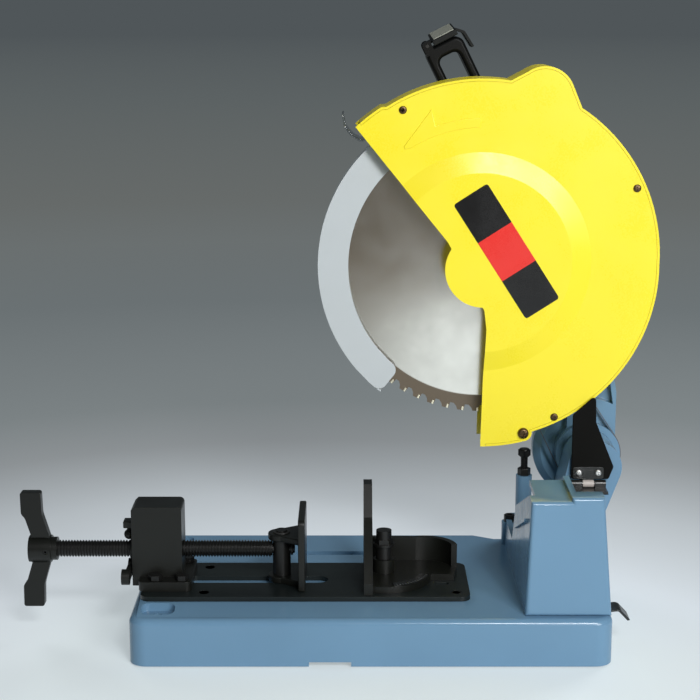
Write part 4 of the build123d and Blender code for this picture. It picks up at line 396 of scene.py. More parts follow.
stop_low, stop_high, stop = box_of("stop_bolt")
stop_radius = (stop_high.x - stop_low.x) / 2
stop_neck = stop_high.z - stop_head
stop_screw = bmesh.new()
join(stop_screw, threaded(stop_neck - stop_low.z, radius=0.004, pitch=0.00125, depth=0.0007),
     at(stop.x, stop.y, stop_low.z))
join(stop_screw, knurled(stop_radius, stop_head - 2 * stop_rim, knurl_teeth, knurl_depth),
     at(stop.x, stop.y, stop_neck + stop_rim))
join(stop_screw, turned([(0, 0), (stop_radius * 0.78, 0), (stop_radius * 0.9, stop_rim),
                         (stop_radius * 0.9, stop_head - stop_rim), (stop_radius * 0.72, stop_head),
                         (0, stop_head)]), at(stop.x, stop.y, stop_neck))
piece("stop_screw", stop_screw, black_oxide, "base", "black_paint", "stop_bolt")
finished("stop_nut", black_oxide, "black_paint", edge=0.0007)

# Pivot shaft of the head: ground steel, fixed in the pedestal's wall and threaded behind the
# arm, where a zinc-plated washer and nut hold it.
worked_metal, metal_in, metal_out = new_group(
    "worked_metal",
    {"Vector": "Vector", "Colour": "Color", "Gloss": "Float", "Lines": "Float", "Stain": "Float"},
    {"Colour": "Color", "Roughness": "Float", "Height": "Float"},
)
tree = worked_metal
lines = noise(tree, metal_in["Vector"], scale=metal_in["Lines"], detail=3.0)
stains = noise(tree, object_place(tree), scale=31.0, detail=4.0)
stain_share = math(tree, "MULTIPLY", remap(tree, stains, noise_core, (-1.0, 0.4)), metal_in["Stain"])
stain_tone = math(tree, "ADD", stain_share, 1.0)
tone = math(tree, "MULTIPLY", stain_tone, remap(tree, lines, noise_core, (0.93, 1.05)))
metal_colour = blend_colours(tree, 1.0, metal_in["Colour"], tone, "MULTIPLY")
line_gloss = remap(tree, lines, noise_core, (-0.06, 0.08))
worn_gloss = math(tree, "SUBTRACT", line_gloss, math(tree, "MULTIPLY", stain_share, 0.5))
metal_gloss = math(tree, "ADD", metal_in["Gloss"], worn_gloss)
link_all(tree, metal_out, Colour=metal_colour, Roughness=metal_gloss, Height=lines)


def length_of(tree, a, b):
    """Result socket of the length of two sides at a right angle."""
    square = math(tree, "ADD", math(tree, "MULTIPLY", a, a), math(tree, "MULTIPLY", b, b))
    return math(tree, "SQRT", square)


def radius_from(tree, centre):
    """Result socket of a point's distance from a centre in X and Z."""
    axes = add_node(tree, "ShaderNodeSeparateXYZ", {0: object_place(tree)}).outputs
    return length_of(tree, math(tree, "SUBTRACT", axes["X"], centre[0]),
                     math(tree, "SUBTRACT", axes["Z"], centre[1]))


def metal(name, colour, gloss, stretch=(1.0, 1.0, 1.0), lines=900.0, bump=0.05, centre=None, stain=0.1):
    """Bare or plated metal with tool lines drawn along an axis, or round a centre in X and Z."""
    material, tree, shader = new_material(name)
    shader.inputs["Metallic"].default_value = 1.0
    if centre:
        drawn = add_node(tree, "ShaderNodeCombineXYZ", {"X": radius_from(tree, centre)})
    else:
        drawn = add_node(tree, "ShaderNodeMapping", {"Vector": object_place(tree), "Scale": stretch})
    values = {"Vector": drawn.outputs["Vector"], "Colour": shade(*colour), "Gloss": gloss, "Lines": lines,
              "Stain": stain}
    work = add_node(tree, "ShaderNodeGroup", values, node_tree=worked_metal, name="work")
    dress(tree, shader, work, bump, depth=0.0001)
    return material


ground_steel = metal("ground_steel", (176, 177, 176), gloss=0.3, stretch=(1.0, 0.1, 1.0))
zinc_plate = metal("zinc_plate", (184, 187, 186), gloss=0.36)
shaft_low, shaft_high, shaft = box_of("pivot_shaft")
shoulder_gap = 0.0004
shaft_lap = 0.001
shaft_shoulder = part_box("arm")[1].y + shoulder_gap
shaft_end = bmesh.new()
join(shaft_end, bar((shaft_high.x - shaft_low.x) / 2, shaft_shoulder - shaft_low.y, chamfer=0.0008),
     at(shaft.x, shaft_shoulder, shaft.z, TO_FRONT))
join(shaft_end, threaded(shaft_high.y - shaft_shoulder + shaft_lap, radius=0.01, pitch=0.0015, depth=0.0008),
     at(shaft.x, shaft_shoulder - shaft_lap, shaft.z, TO_BACK))
piece("pivot_shaft_ground", shaft_end, ground_steel, "base", "bright_steel", "pivot_shaft")
finished("pivot_nut", zinc_plate, "zinc", edge=0.0008)

# Bed plate of the vise: a steel plate in satin black, slotted for the jaw, with countersunk
# socket screws flush in its top.
plate_black = coated("plate_black", (22, 28, 28), gloss=0.4, bump=0.08, shine=0.35)
finished("bed_plate", plate_black, "black_paint", edge=0.0008)
bed_screws = bmesh.new()
flush_depth = 0.0016
bed_socket_depth = 0.0024
bed_shank_top = 0.003
for low, high, middle in solids_of("bed_plate_screws"):
    head_radius = (high.x - low.x) / 2
    head = screw_head(head_radius, flush_depth, hexagon(head_radius * 0.45), bed_socket_depth, crown=0.0,
                      taper=1.0)
    join(bed_screws, head, at(middle.x, middle.y, high.z - flush_depth))
    join(bed_screws, bar(head_radius * 0.55, high.z - bed_shank_top - low.z), at(middle.x, middle.y, low.z))
piece("bed_screws", bed_screws, black_oxide, "base", "black_paint", "bed_plate_screws")

# Vise screw housing: a black cast block on a foot held by four hex bolts, with the half-nut
# inside it, the lever that drops the half-nut, and a ball-ended pin under a welded tab.
black_paint = coated("black_paint", (19, 20, 17), gloss=0.36, grain=1300.0, bump=0.1, mottle=0.05,
                     shine=0.36)
housing_low, housing_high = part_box("vise_housing")
corner_cut = 0.0165
corner_share = 0.25
housing = shape_of("vise_housing")
corner = [v for v in housing.verts
          if v.co.x < housing_low.x + corner_cut and v.co.z > housing_high.z - corner_cut]
bmesh.ops.scale(housing, vec=(corner_share, 1, corner_share), verts=corner,
                space=Matrix.Translation((-housing_low.x, 0, -housing_high.z)))
rounded(housing, width=0.0014, segments=3)
piece("vise_housing_cast", housing, black_paint, "base", "black_paint", "vise_housing")
finished("vise_housing_bolts", black_oxide, "black_paint", edge=0.0007)
finished("half_nut", ground_steel, "bright_steel", edge=0.0004)
finished("release_lever", black_paint, "black_paint", edge=0.0009)

screw_low, screw_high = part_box("vise_screw")
screw_y = (screw_low.y + screw_high.y) / 2
screw_z = (screw_low.z + screw_high.z) / 2
screw_radius = (screw_high.z - screw_low.z) / 2
lap = 0.001
bore = screw_radius + 0.0005
collar = bore + 0.0014
collar_lip = bore + 0.00084
collar_length = 0.0035
tab_reach = 0.01
tab_width = 0.014
tab_height = 0.0075
tab_low = screw_z + 0.0235
ball_radius = 0.0054
ball_neck = 0.0022
ball_x = housing_low.x - tab_reach + ball_radius
ball_z = screw_z + 0.0155
ball_stem = tab_low - ball_z + lap


def drawn_out(shape, way):
    """A flat mesh drawn out along a vector into a solid."""
    grown = bmesh.ops.extrude_face_region(shape, geom=shape.faces[:])["geom"]
    bmesh.ops.translate(shape, vec=way, verts=[v for v in grown if isinstance(v, bmesh.types.BMVert)])
    bmesh.ops.recalc_face_normals(shape, faces=shape.faces)
    return shape


def flat_plate(length, width, thickness, corner=0.0):
    """Flat plate about the origin, from Z = 0 up, with rounded corners."""
    part = bmesh.new()
    bmesh.ops.create_grid(part, x_segments=1, y_segments=1, size=0.5)
    bmesh.ops.scale(part, vec=(length, width, 1), verts=part.verts)
    if corner:
        bevelled(part, part.verts[:], corner, segments=6, affect="VERTICES")
    return drawn_out(part, (0, 0, thickness))


housing_fittings = bmesh.new()
join(housing_fittings, turned([(bore, -lap), (bore, collar_length), (collar_lip, collar_length),
                               (collar, collar_length - 0.0006), (collar, -lap)], ring=True),
     at(housing_low.x, screw_y, screw_z, TO_LEFT))
tab = rounded(flat_plate(tab_reach + 2 * lap, tab_width, tab_height), width=0.0012, segments=3)
join(housing_fittings, tab, at(housing_low.x - tab_reach / 2 + lap, screw_y, tab_low))
ball_profile = [(ball_radius * sin(k * pi / 14), -ball_radius * cos(k * pi / 14)) for k in range(12)]
ball_profile += [(ball_neck, ball_radius), (ball_neck, ball_stem), (0, ball_stem)]
join(housing_fittings, turned(ball_profile), at(ball_x, screw_y, ball_z))
piece("housing_fittings", housing_fittings, black_paint, "base", "black_paint")

# Vise screw: a black rolled trapezoidal thread, with a turned tip held in the jaw post by a clip
# and a cast T-handle fixed to its other end by a roll pin.
tip_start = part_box("jaw_post")[0].x - 0.0004
tip_radius = 0.005
clip_black = coated("clip_black", (40, 40, 39), gloss=0.4, bump=0.1)
vise_thread = bmesh.new()
join(vise_thread, threaded(tip_start - screw_low.x, screw_radius, pitch=0.003, depth=0.0013),
     at(screw_low.x, screw_y, screw_z, TO_RIGHT))
join(vise_thread, bar(tip_radius, screw_high.x - tip_start + lap, chamfer=0.0008),
     at(tip_start - lap, screw_y, screw_z, TO_RIGHT))
piece("vise_screw_threaded", vise_thread, black_oxide, "vise_screw", "black_paint", "vise_screw")
finished("screw_clip", clip_black, "black_paint", edge=0.0003)


def solid_from(corners, way):
    """Solid from an outline of corners, drawn out along a vector."""
    part = bmesh.new()
    part.faces.new([part.verts.new(corner) for corner in corners])
    return drawn_out(part, way)


tee_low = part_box("tee_handle")[0]
tee_trim = 0.0134
arm_thickness = 0.011
arm_outline = ((0.032, 0.004), (0.022, 0.038), (0.0214, 0.0615), (0.0002, 0.0615), (0.0005, 0.038),
               (0.0041, 0.0346), (0.0135, 0.004))
tee_shape = shape_of("tee_handle")
for side in (-1, 1):
    rim = cut_off(tee_shape, (0, 0, screw_z + side * tee_trim), (0, 0, side))
    bmesh.ops.holes_fill(tee_shape, edges=rim)
rounded(tee_shape, width=0.0008)
for side in (-1, 1):
    arm = solid_from([(tee_low.x + across, screw_y - arm_thickness / 2, screw_z + side * up)
                      for across, up in arm_outline], (0, arm_thickness, 0))
    upright = [e for e in arm.edges if abs(e.verts[0].co.y - e.verts[1].co.y) > arm_thickness / 2]
    bevelled(arm, upright, width=0.003, segments=5)
    join(tee_shape, rounded(arm, width=0.0014, segments=3))
piece("tee_handle_cast", tee_shape, black_paint, "vise_screw", "black_paint", "tee_handle")
pin_low, pin_high, pin = box_of("tee_pin")
pin_radius = (pin_high.x - pin_low.x) / 2
pin_sunk = 0.0009
pin_chamfer = 0.0004
pin_length = pin_high.y - pin_low.y - 2 * pin_sunk
roll_pin = turned([(pin_radius * 0.5, 0), (pin_radius * 0.5, pin_length), (pin_radius * 0.9, pin_length),
                   (pin_radius, pin_length - pin_chamfer), (pin_radius, pin_chamfer), (pin_radius * 0.9, 0)],
                  ring=True)
placed(roll_pin, at(pin.x, pin_high.y - pin_sunk, pin.z, TO_FRONT))
piece("roll_pin", roll_pin, black_oxide, "vise_screw", "black_paint", "tee_pin")

# Vise jaw: a welded steel jaw in black that swivels on an upright post at the end of the screw,
# with a retaining ring on top of the post.
finished("jaw_post", black_oxide, "black_paint", edge=0.0005)
finished("vise_jaw", black_paint, "black_paint", edge=0.0011)
post_high, post = box_of("jaw_post")[1:]
ring_bore = 0.0061
ring_radius = 0.0088
ring_height = 0.0012
ring_chamfer = 0.0004
ring_drop = 0.0028
jaw_ring = turned([(ring_bore, 0), (ring_bore, ring_height), (ring_radius - ring_chamfer, ring_height),
                   (ring_radius, ring_height - ring_chamfer), (ring_radius, 0)], ring=True)
placed(jaw_ring, at(post.x, post.y, post_high.z - ring_drop))
piece("jaw_ring", jaw_ring, clip_black, "jaw_carriage", "black_paint")

# Fence: a black casting that turns on one bolt for mitre cuts, with an anodised degree scale
# riveted to its quadrant floor.
finished("fence", black_paint, "black_paint", edge=0.0011, segments=3)
finished("fence_bolt", black_oxide, "black_paint", edge=0.0007)
fence_pivot = box_of("fence_bolt")[2]
scale_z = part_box("fence")[0].z + 0.007
scale_inner = 0.0385
scale_outer = 0.0485
scale_thickness = 0.0006
scale_from = -78
scale_to = -14
tick_step = 4
tick_width = 0.0006
tick_rise = 0.00008
tick_inset = 0.001
tick_long = 0.0052
tick_short = 0.003
scale_plate = bmesh.new()
corners = [scale_plate.verts.new((reach, 0, height)) for reach, height in (
    (scale_inner, 0), (scale_outer, 0), (scale_outer, scale_thickness), (scale_inner, scale_thickness))]
scale_end = scale_plate.faces.new(corners)
bmesh.ops.spin(scale_plate, geom=corners + scale_end.edges[:] + [scale_end], cent=(0, 0, 0), axis=(0, 0, 1),
               dvec=(0, 0, 0), angle=radians(scale_to - scale_from), steps=40)
bmesh.ops.recalc_face_normals(scale_plate, faces=scale_plate.faces)
placed(scale_plate, at(fence_pivot.x, fence_pivot.y, scale_z, Matrix.Rotation(radians(scale_from), 4, "Z")))
scale_black = coated("scale_black", (22, 23, 22), gloss=0.2, bump=0.03)
piece("fence_scale", scale_plate, scale_black, "fence", "black_paint")
scale_ticks = bmesh.new()
for index, angle in enumerate(range(scale_from + 4, scale_to - 2, tick_step)):
    length = tick_long if index % 5 == 0 else tick_short
    turn = Matrix.Rotation(radians(angle), 4, "Z")
    place = at(fence_pivot.x, fence_pivot.y, scale_z + scale_thickness, turn)
    tick = flat_plate(length, tick_width, tick_rise)
    join(scale_ticks, tick, place @ Matrix.Translation((scale_outer - tick_inset - length / 2, 0, 0)))
tick_metal = metal("tick_metal", (214, 216, 214), gloss=0.3)
piece("fence_scale_ticks", scale_ticks, tick_metal, "fence", "bright_steel")

# Chip drawer: a folded steel tray behind a painted face, pulled by a bent steel strap that two
# round-headed rivets hold to the face.
strap_black = coated("strap_black", (30, 33, 33), gloss=0.3, bump=0.06)
strap_low, strap_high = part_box("drawer_strap")
strap_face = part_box("chip_drawer")[1].x + 0.003
strap_bend = 0.0275
strap_flatten = 0.56
rivet_radius = 0.0034
rivet_rise = 0.0018
rivet_height = 0.009
finished("chip_drawer", blue_paint, "blue_paint", edge=0.0006)
strap_shape = shape_of("drawer_strap")
bend_foot = strap_high.z - strap_bend
bmesh.ops.scale(strap_shape, vec=(1, 1, strap_flatten), space=Matrix.Translation((0, 0, -bend_foot)),
                verts=[v for v in strap_shape.verts if v.co.z > bend_foot])
rounded(strap_shape, width=0.0005)
piece("drawer_strap_bent", strap_shape, strap_black, "drawer", "bright_steel", "drawer_strap")
strap_rivets = bmesh.new()
for y in (strap_low.y * 0.72 + strap_high.y * 0.28, strap_low.y * 0.28 + strap_high.y * 0.72):
    dome = turned([(0, -lap), (rivet_radius, -lap), (rivet_radius, 0.0003),
                   (rivet_radius * 0.8, rivet_rise * 0.7), (rivet_radius * 0.45, rivet_rise),
                   (0, rivet_rise)])
    join(strap_rivets, dome, at(strap_face, y, strap_low.z + rivet_height, TO_RIGHT))
piece("strap_rivets", strap_rivets, strap_black, "drawer", "bright_steel")

# Chip flap: a black plate in front of the head pivot, on a small steel hinge whose moving leaf is
# held to it by two bright cross-head screws.
flap_black = coated("flap_black", (10, 10, 8), gloss=0.6, grain=900.0, bump=0.08, shine=0.1)
knuckle_black = coated("knuckle_black", (30, 31, 30), gloss=0.22, bump=0.04)
bright_zinc = metal("bright_zinc", (206, 206, 204), gloss=0.3)
# Painted reflection: the moving knuckle is painted pale grey to stand in for the gleam on the black hinge.
knuckle_reflection_grey = coated("knuckle_reflection_grey", (186, 178, 172), gloss=0.4, bump=0.05)
hinge_low, hinge_high, hinge = box_of("flap_pin")
hinge_length = hinge_high.x - hinge_low.x
knuckle_bore = (hinge_high.z - hinge_low.z) / 2 + 0.00005
knuckle_radius = 0.004
knuckle_edge = 0.0003
knuckle_length = hinge_length / 3 - 0.0008
flap_front = hinge.y + knuckle_radius - 0.003
flap_foot = hinge.z + knuckle_radius + 0.0004
leaf_share = 0.86
leaf_rise = 0.0135
leaf_corner = 0.002
leaf_sheet = 0.0012
leaf_screws = 0.0103
leaf_screw_rise = 0.0075
tongue_drop = 0.003
wing_trim = 0.0005
wing_lift = 0.0004
hair = 0.0001


def cross(reach, half):
    """Outline of a cross recess."""
    quarter = [(reach, -half), (reach, half), (half, half)]
    turns = [(1, 0), (0, 1), (-1, 0), (0, -1)]
    return [(x * c - y * s, x * s + y * c) for c, s in turns for x, y in quarter]


flap_plate = shape_of("chip_flap")
bmesh.ops.holes_fill(flap_plate, edges=cut_off(flap_plate, (0, 0, flap_foot), (0, 0, -1)))
rounded(flap_plate, width=0.0008)
piece("flap_plate", flap_plate, flap_black, "flap", "black_plastic", "chip_flap")
knuckle_end = knuckle_radius - knuckle_edge
# Moving knuckle, in the pale grey of the painted reflection.
moving_knuckle = turned([(knuckle_bore, 0), (knuckle_end, 0), (knuckle_radius, knuckle_edge),
                         (knuckle_radius, knuckle_length - knuckle_edge), (knuckle_end, knuckle_length),
                         (knuckle_bore, knuckle_length)], ring=True)
placed(moving_knuckle, at(hinge.x - knuckle_length / 2, hinge.y, hinge.z, TO_RIGHT))
piece("flap_moving_knuckle", moving_knuckle, knuckle_reflection_grey, "flap", "zinc")
leaf_wings = bmesh.new()
wing = flat_plate(hinge_length * leaf_share, leaf_rise - wing_trim, leaf_sheet, leaf_corner)
join(leaf_wings, rounded(wing, width=0.0003), at(
    hinge.x, flap_front + hair, flap_foot + leaf_rise / 2 + wing_lift, TO_FRONT))
tongue = rounded(flat_plate(knuckle_length, leaf_rise, leaf_sheet), width=0.0002)
join(leaf_wings, tongue, at(hinge.x, flap_front, flap_foot + leaf_rise / 2 - tongue_drop, TO_FRONT))
piece("flap_leaf_wings", leaf_wings, knuckle_black, "flap", "black_paint")
flap_screws = bmesh.new()
for side in (-1, 1):
    head = screw_head(radius=0.0036, rise=0.002, recess=cross(0.0021, 0.0005), depth=0.0012, crown=0.5)
    join(flap_screws, head, at(hinge.x + side * leaf_screws, flap_front - leaf_sheet + hair,
                               flap_foot + leaf_screw_rise, TO_FRONT))
piece("flap_screws", flap_screws, bright_zinc, "flap", "zinc")
finished("flap_leaf", knuckle_black, "black_paint", edge=0.0005)
finished("flap_pin", ground_steel, "bright_steel", edge=0.0002)

# Arm: the swinging casting with the pivot hub, the ribbed neck and the gear case, in blue enamel,
# on two bronze bushes, with a return spring wound in its hub. The hub's outer side is milled flat.
hub_flat = 0.0308
hub_flats = ((1.0, 0.0), (0.77, -0.64))
arm_shape = shape_of("arm")
for across, up in hub_flats:
    side = Vector((across, 0, up)).normalized()
    rim = cut_off(arm_shape, shaft + side * hub_flat, side)
    bmesh.ops.triangle_fill(arm_shape, use_beauty=True, normal=side, edges=rim)
bmesh.ops.dissolve_limit(arm_shape, angle_limit=radians(0.4), verts=arm_shape.verts, edges=arm_shape.edges)
bmesh.ops.recalc_face_normals(arm_shape, faces=arm_shape.faces)
rounded(arm_shape, width=0.0013, segments=3)
piece("arm_cast", arm_shape, blue_paint, "head", "blue_paint", "arm")
finished("pivot_bushes", metal("bronze", (196, 150, 84), gloss=0.35), "bronze", edge=0.0003)
spring_steel = metal("spring_steel", (110, 110, 112), gloss=0.35)
spring = piece("return_spring_wound", shape_of("return_spring"), spring_steel, None, "spring_steel",
               "return_spring")
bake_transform(spring)

# Gear cover: the cast aluminium rear wall of the gear case in blue enamel, held to the arm by
# five black socket screws round its flange.
arbor = box_of("spindle")[2]
case_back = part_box("gear_cover")[1].y
case_screw_reach = 0.0575
case_screw_angles = (150, 196, 242, 288, 334)


def round_from(centre, reach, angle):
    """X and Z at a reach and an angle in degrees round a centre, as seen from the front."""
    return centre.x + reach * cos(radians(angle)), centre.z + reach * sin(radians(angle))


finished("gear_cover", blue_paint, "blue_paint", edge=0.001, segments=3)
case_screws = bmesh.new()
for angle in case_screw_angles:
    x, z = round_from(arbor, case_screw_reach, angle)
    head = screw_head(radius=0.0042, rise=0.0045, recess=hexagon(0.0022), depth=0.0025, crown=0.12,
                      taper=1.0)
    join(case_screws, head, at(x, case_back, z, TO_BACK))
piece("case_screws", case_screws, black_oxide, "head", "black_paint")

# Gear train and arbor: hardened and ground steel shafts, gears, flanges and bearings, pressed
# and bolted together inside the gear case.
for node in ("spindle", "driven_gear", "inner_flange", "outer_flange", "arbor_bolt", "armature"):
    finished(node, ground_steel, "bright_steel", edge=0.0)
for node in ("spindle_bearings", "motor_bearings"):
    finished(node, ground_steel, "bearing_steel", edge=0.0003)

# Blade: a steel disc ground round its arbor and left darker at the rim, with sixty carbide tips
# brazed to its teeth. Two flanges and one bolt clamp it on the arbor.
rim_brown = (122, 110, 96)
rim_width = 0.0178
rim_blur = 0.0006
rim_roughness = 0.22
blade_low, blade_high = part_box("blade")
blade_radius = (blade_high.x - blade_low.x) / 2
blade_steel = metal("blade_steel", (240, 236, 228), gloss=0.15, lines=2400.0, bump=0.02,
                    centre=(arbor.x, arbor.z), stain=0.07)
tree = blade_steel.node_tree
work = tree.nodes["work"].outputs
rim_start = blade_radius - rim_width
rim_span = (rim_start - rim_blur, rim_start + rim_blur)
rim = remap(tree, radius_from(tree, (arbor.x, arbor.z)), rim_span, (0.0, 1.0))
rim_colour = blend_colours(tree, rim, work["Colour"], shade(*rim_brown))
rim_gloss = math(tree, "ADD", work["Roughness"], math(tree, "MULTIPLY", rim, rim_roughness))
link_all(tree, tree.nodes["Principled BSDF"].inputs, Base_Color=rim_colour, Roughness=rim_gloss)
carbide = metal("carbide", (250, 240, 214), gloss=0.22)
finished("blade", blade_steel, "bright_steel", edge=0.0)
finished("blade_tips", carbide, "carbide", edge=0.0002, segments=1)

# Motor: a black moulded barrel and end cap behind the gear case, with the fan, the stator and slotted
# brush caps. Lugs on its flange and long screws through the end cap hold it together.
motor_plastic = coated("motor_plastic", (30, 30, 31), gloss=0.5, grain=1700.0, bump=0.25)
core_iron = coated("core_iron", (96, 88, 80), gloss=0.6, grain=900.0, bump=0.2)
motor_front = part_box("motor_housing")[0].y
cap_high, motor_axis = box_of("end_cap")[1:]
lug_reach = 0.0548
lug_radius = 0.0058
lug_length = 0.011
lug_angles = (24, 156, 204, 336)
cap_screw_reach = 0.0385
cap_screw_angles = (15, 105, 195, 285)
brush_rise = 0.004


def slit(reach, half):
    """Outline of a straight slot."""
    return [(reach, -half), (reach, half), (-reach, half), (-reach, -half)]


for node in ("motor_housing", "end_cap", "cable_inlet", "motor_fan"):
    finished(node, motor_plastic, "black_plastic", edge=0.0009, segments=3)
finished("stator", core_iron, "core_iron", edge=0.0005)
motor_lugs = bmesh.new()
motor_screws = bmesh.new()
for angle in lug_angles:
    x, z = round_from(motor_axis, lug_reach, angle)
    lug = turned([(0, 0), (lug_radius, 0), (lug_radius * 0.96, lug_length - 0.0008),
                  (lug_radius * 0.82, lug_length), (0, lug_length)])
    join(motor_lugs, lug, at(x, motor_front, z, TO_BACK))
    head = screw_head(lug_radius * 0.62, rise=0.0024, recess=cross(0.002, 0.00045), depth=0.0014,
                      crown=0.4)
    join(motor_screws, head, at(x, motor_front + lug_length, z, TO_BACK))
for angle in cap_screw_angles:
    x, z = round_from(motor_axis, cap_screw_reach, angle)
    head = screw_head(radius=0.0026, rise=0.0012, recess=cross(0.0016, 0.0004), depth=0.001, crown=0.5)
    join(motor_screws, head, at(x, cap_high.y - hair, z, TO_BACK))
piece("motor_lugs", motor_lugs, motor_plastic, "head", "black_plastic")
piece("motor_screws", motor_screws, black_oxide, "head", "black_paint")
brush_plugs = bmesh.new()
for (low, high, middle), turn, inward in zip(solids_of("brush_caps"), (TO_LEFT, TO_RIGHT), (1, -1)):
    radius = (high.z - low.z) / 2
    face = low.x if inward > 0 else high.x
    plug = screw_head(radius, brush_rise, slit(radius * 0.6, 0.0009), depth=0.0016, crown=0.25)
    join(brush_plugs, plug, at(face + inward * brush_rise, middle.y, middle.z, turn))
    join(brush_plugs, bar(radius * 0.77, high.x - low.x - brush_rise),
         at(face + inward * (high.x - low.x), middle.y, middle.z, turn))
piece("brush_plugs", brush_plugs, motor_plastic, "head", "black_plastic", "brush_caps")

# Loop handle: two moulded black halves leaning over the motor, screwed together from behind, with a
# switch lever along the top that turns on a steel pin.
handle_plastic = coated("handle_plastic", (12, 13, 13), gloss=0.38, grain=1700.0, bump=0.15, shine=0.12)
lever_plastic = coated("lever_plastic", (17, 20, 20), gloss=0.45, grain=1700.0, bump=0.2, shine=0.18)
# Painted sheen: a pale grey strip on the black lever's top stands in for the light falling along it.
lever_sheen_grey = coated("lever_sheen_grey", (158, 160, 148), gloss=0.55, grain=1700.0, bump=0.25)
handle_lean = radians(26.5)
handle_foot = Vector((0.1679, 0.0, 0.486))
handle_up = Vector((-sin(handle_lean), 0, cos(handle_lean)))
handle_across = Vector((cos(handle_lean), 0, sin(handle_lean)))
handle_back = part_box("handle_rear")[1].y
handle_screws_at = ((-0.014, 0.027), (0.014, 0.027), (-0.012, 0.1255), (0.012, 0.1255))
for node in ("handle_front", "handle_rear"):
    finished(node, handle_plastic, "black_plastic", edge=0.0014, segments=3)
finished("lever_pin", black_oxide, "bright_steel", edge=0.0002)
lever_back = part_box("switch_lever")[1].y
lever_left = -0.009
lever_right = 0.0195
lever_top = 0.1392
lever_under = 0.137
lever_back_rise = 0.0065
skirt_foot = 0.1332
skirt_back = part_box("handle_front")[0].y - 0.0006
skirt_front = skirt_back - 0.0018
sheen_inset = 0.0022
sheen_thickness = 0.0009
sheen_sunk = 0.0005


def handle_point(across, y, up):
    """Place in the handle's own leaning frame."""
    return handle_foot + handle_across * across + handle_up * up + Vector((0, y, 0))


def drawn_across(section, left, right):
    """Solid with a section of (y, up) corners, drawn across the handle between two ends."""
    return solid_from([handle_point(left, y, up) for y, up in section], handle_across * (right - left))


lever_shape = rounded(shape_of("switch_lever"), width=0.001, segments=3)
lever_body = drawn_across([(skirt_back, skirt_foot), (skirt_front, skirt_foot), (skirt_front, lever_top),
                           (lever_back, lever_top + lever_back_rise), (lever_back, lever_under),
                           (skirt_back, lever_under)], lever_left, lever_right)
join(lever_shape, rounded(lever_body, width=0.0008, segments=3))
piece("switch_lever_moulded", lever_shape, lever_plastic, "switch_lever", "black_plastic", "switch_lever")
slope = lever_back_rise / (lever_back - skirt_front)
sheen_from = skirt_front + sheen_inset
sheen_to = lever_back - sheen_inset
sheen_low = lever_top + slope * sheen_inset
sheen_high = lever_top + slope * (sheen_to - skirt_front)
# Strip of painted sheen, sunk a little into the lever's sloping top.
sheen_strip = drawn_across([(sheen_from, sheen_low - sheen_sunk), (sheen_from, sheen_low + sheen_thickness),
                    (sheen_to, sheen_high + sheen_thickness), (sheen_to, sheen_high - sheen_sunk)],
                   lever_left + sheen_inset, lever_right - sheen_inset)
piece("lever_painted_sheen", rounded(sheen_strip, width=0.0004), lever_sheen_grey, "switch_lever", "black_plastic")
handle_screws = bmesh.new()
for across, up in handle_screws_at:
    spot = handle_point(across, handle_back - hair, up)
    head = screw_head(radius=0.0034, rise=0.0014, recess=cross(0.002, 0.00045), depth=0.001, crown=0.4)
    join(handle_screws, head, at(*spot, TO_BACK))
piece("handle_screws", handle_screws, black_oxide, "head", "black_paint")

# Guard: a deep-drawn steel shell and a pressed cover, powder coated yellow, held by three small
# cross-head screws and one larger one. A turning arrow is pressed into the cover.
guard_yellow = (250, 231, 46)
press_round = 0.0092
cover_edge = 0.0006
cover_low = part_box("guard_cover")[0]
cover_face = cover_low.y + 0.006
cover_shank = 0.0025
yellow_paint = coated("yellow_paint", guard_yellow, gloss=0.3, grain=600.0, bump=0.05, mottle=0.015)
finished("guard_shell", yellow_paint, "yellow_paint", edge=0.0008, segments=3)
cover = rounded(shape_of("guard_cover"), press_round, segments=7, low=8, high=32)
rounded(cover, cover_edge, low=60)
piece("guard_cover_pressed", cover, yellow_paint, "head", "yellow_paint", "guard_cover")
finished("guard_screws", black_oxide, "black_paint", edge=0.0004)
cover_screws = bmesh.new()
for low, high, middle in solids_of("cover_screws"):
    radius = (high.x - low.x) / 2 * 0.9
    rise = cover_face - low.y
    head = screw_head(radius, rise, cross(radius * 0.56, radius * 0.13), rise * 0.7, crown=0.55)
    join(cover_screws, head, at(middle.x, cover_face, middle.z, TO_FRONT))
    join(cover_screws, bar(cover_shank, high.y - cover_face), at(middle.x, high.y, middle.z, TO_FRONT))
brown_screw = metal("brown_screw", (104, 84, 62), gloss=0.34)
piece("cover_screw_heads", cover_screws, brown_screw, "head", "black_paint", "cover_screws")

disc_centre = Vector((0.1452, 0.0, 0.3823))
arrow_inner = 0.140
arrow_outer = 0.150
arrow_rise = 0.0009
arrow_arc = [91.0 + 2.0 * k for k in range(10)]
head_arc = [121.5 - 3.0 * k for k in range(4)]
arrow_line = [(arrow_outer, angle) for angle in arrow_arc]
arrow_line += [(0.1675, 108.4), (0.1455, 124.0), (0.142, 124.2)]
arrow_line += [(arrow_inner, angle) for angle in head_arc + arrow_arc[::-1]]
arrow_spots = [round_from(disc_centre, reach, angle) for reach, angle in arrow_line]
arrow = solid_from([(x, cover_face, z) for x, z in arrow_spots], (0, -arrow_rise, 0))
crest = [e for e in creases(arrow, 60) if all(v.co.y < cover_face - arrow_rise / 2 for v in e.verts)]
bevelled(arrow, crest, arrow_rise * 0.9, segments=4)
piece("turning_arrow", arrow, yellow_paint, "head", "yellow_paint")

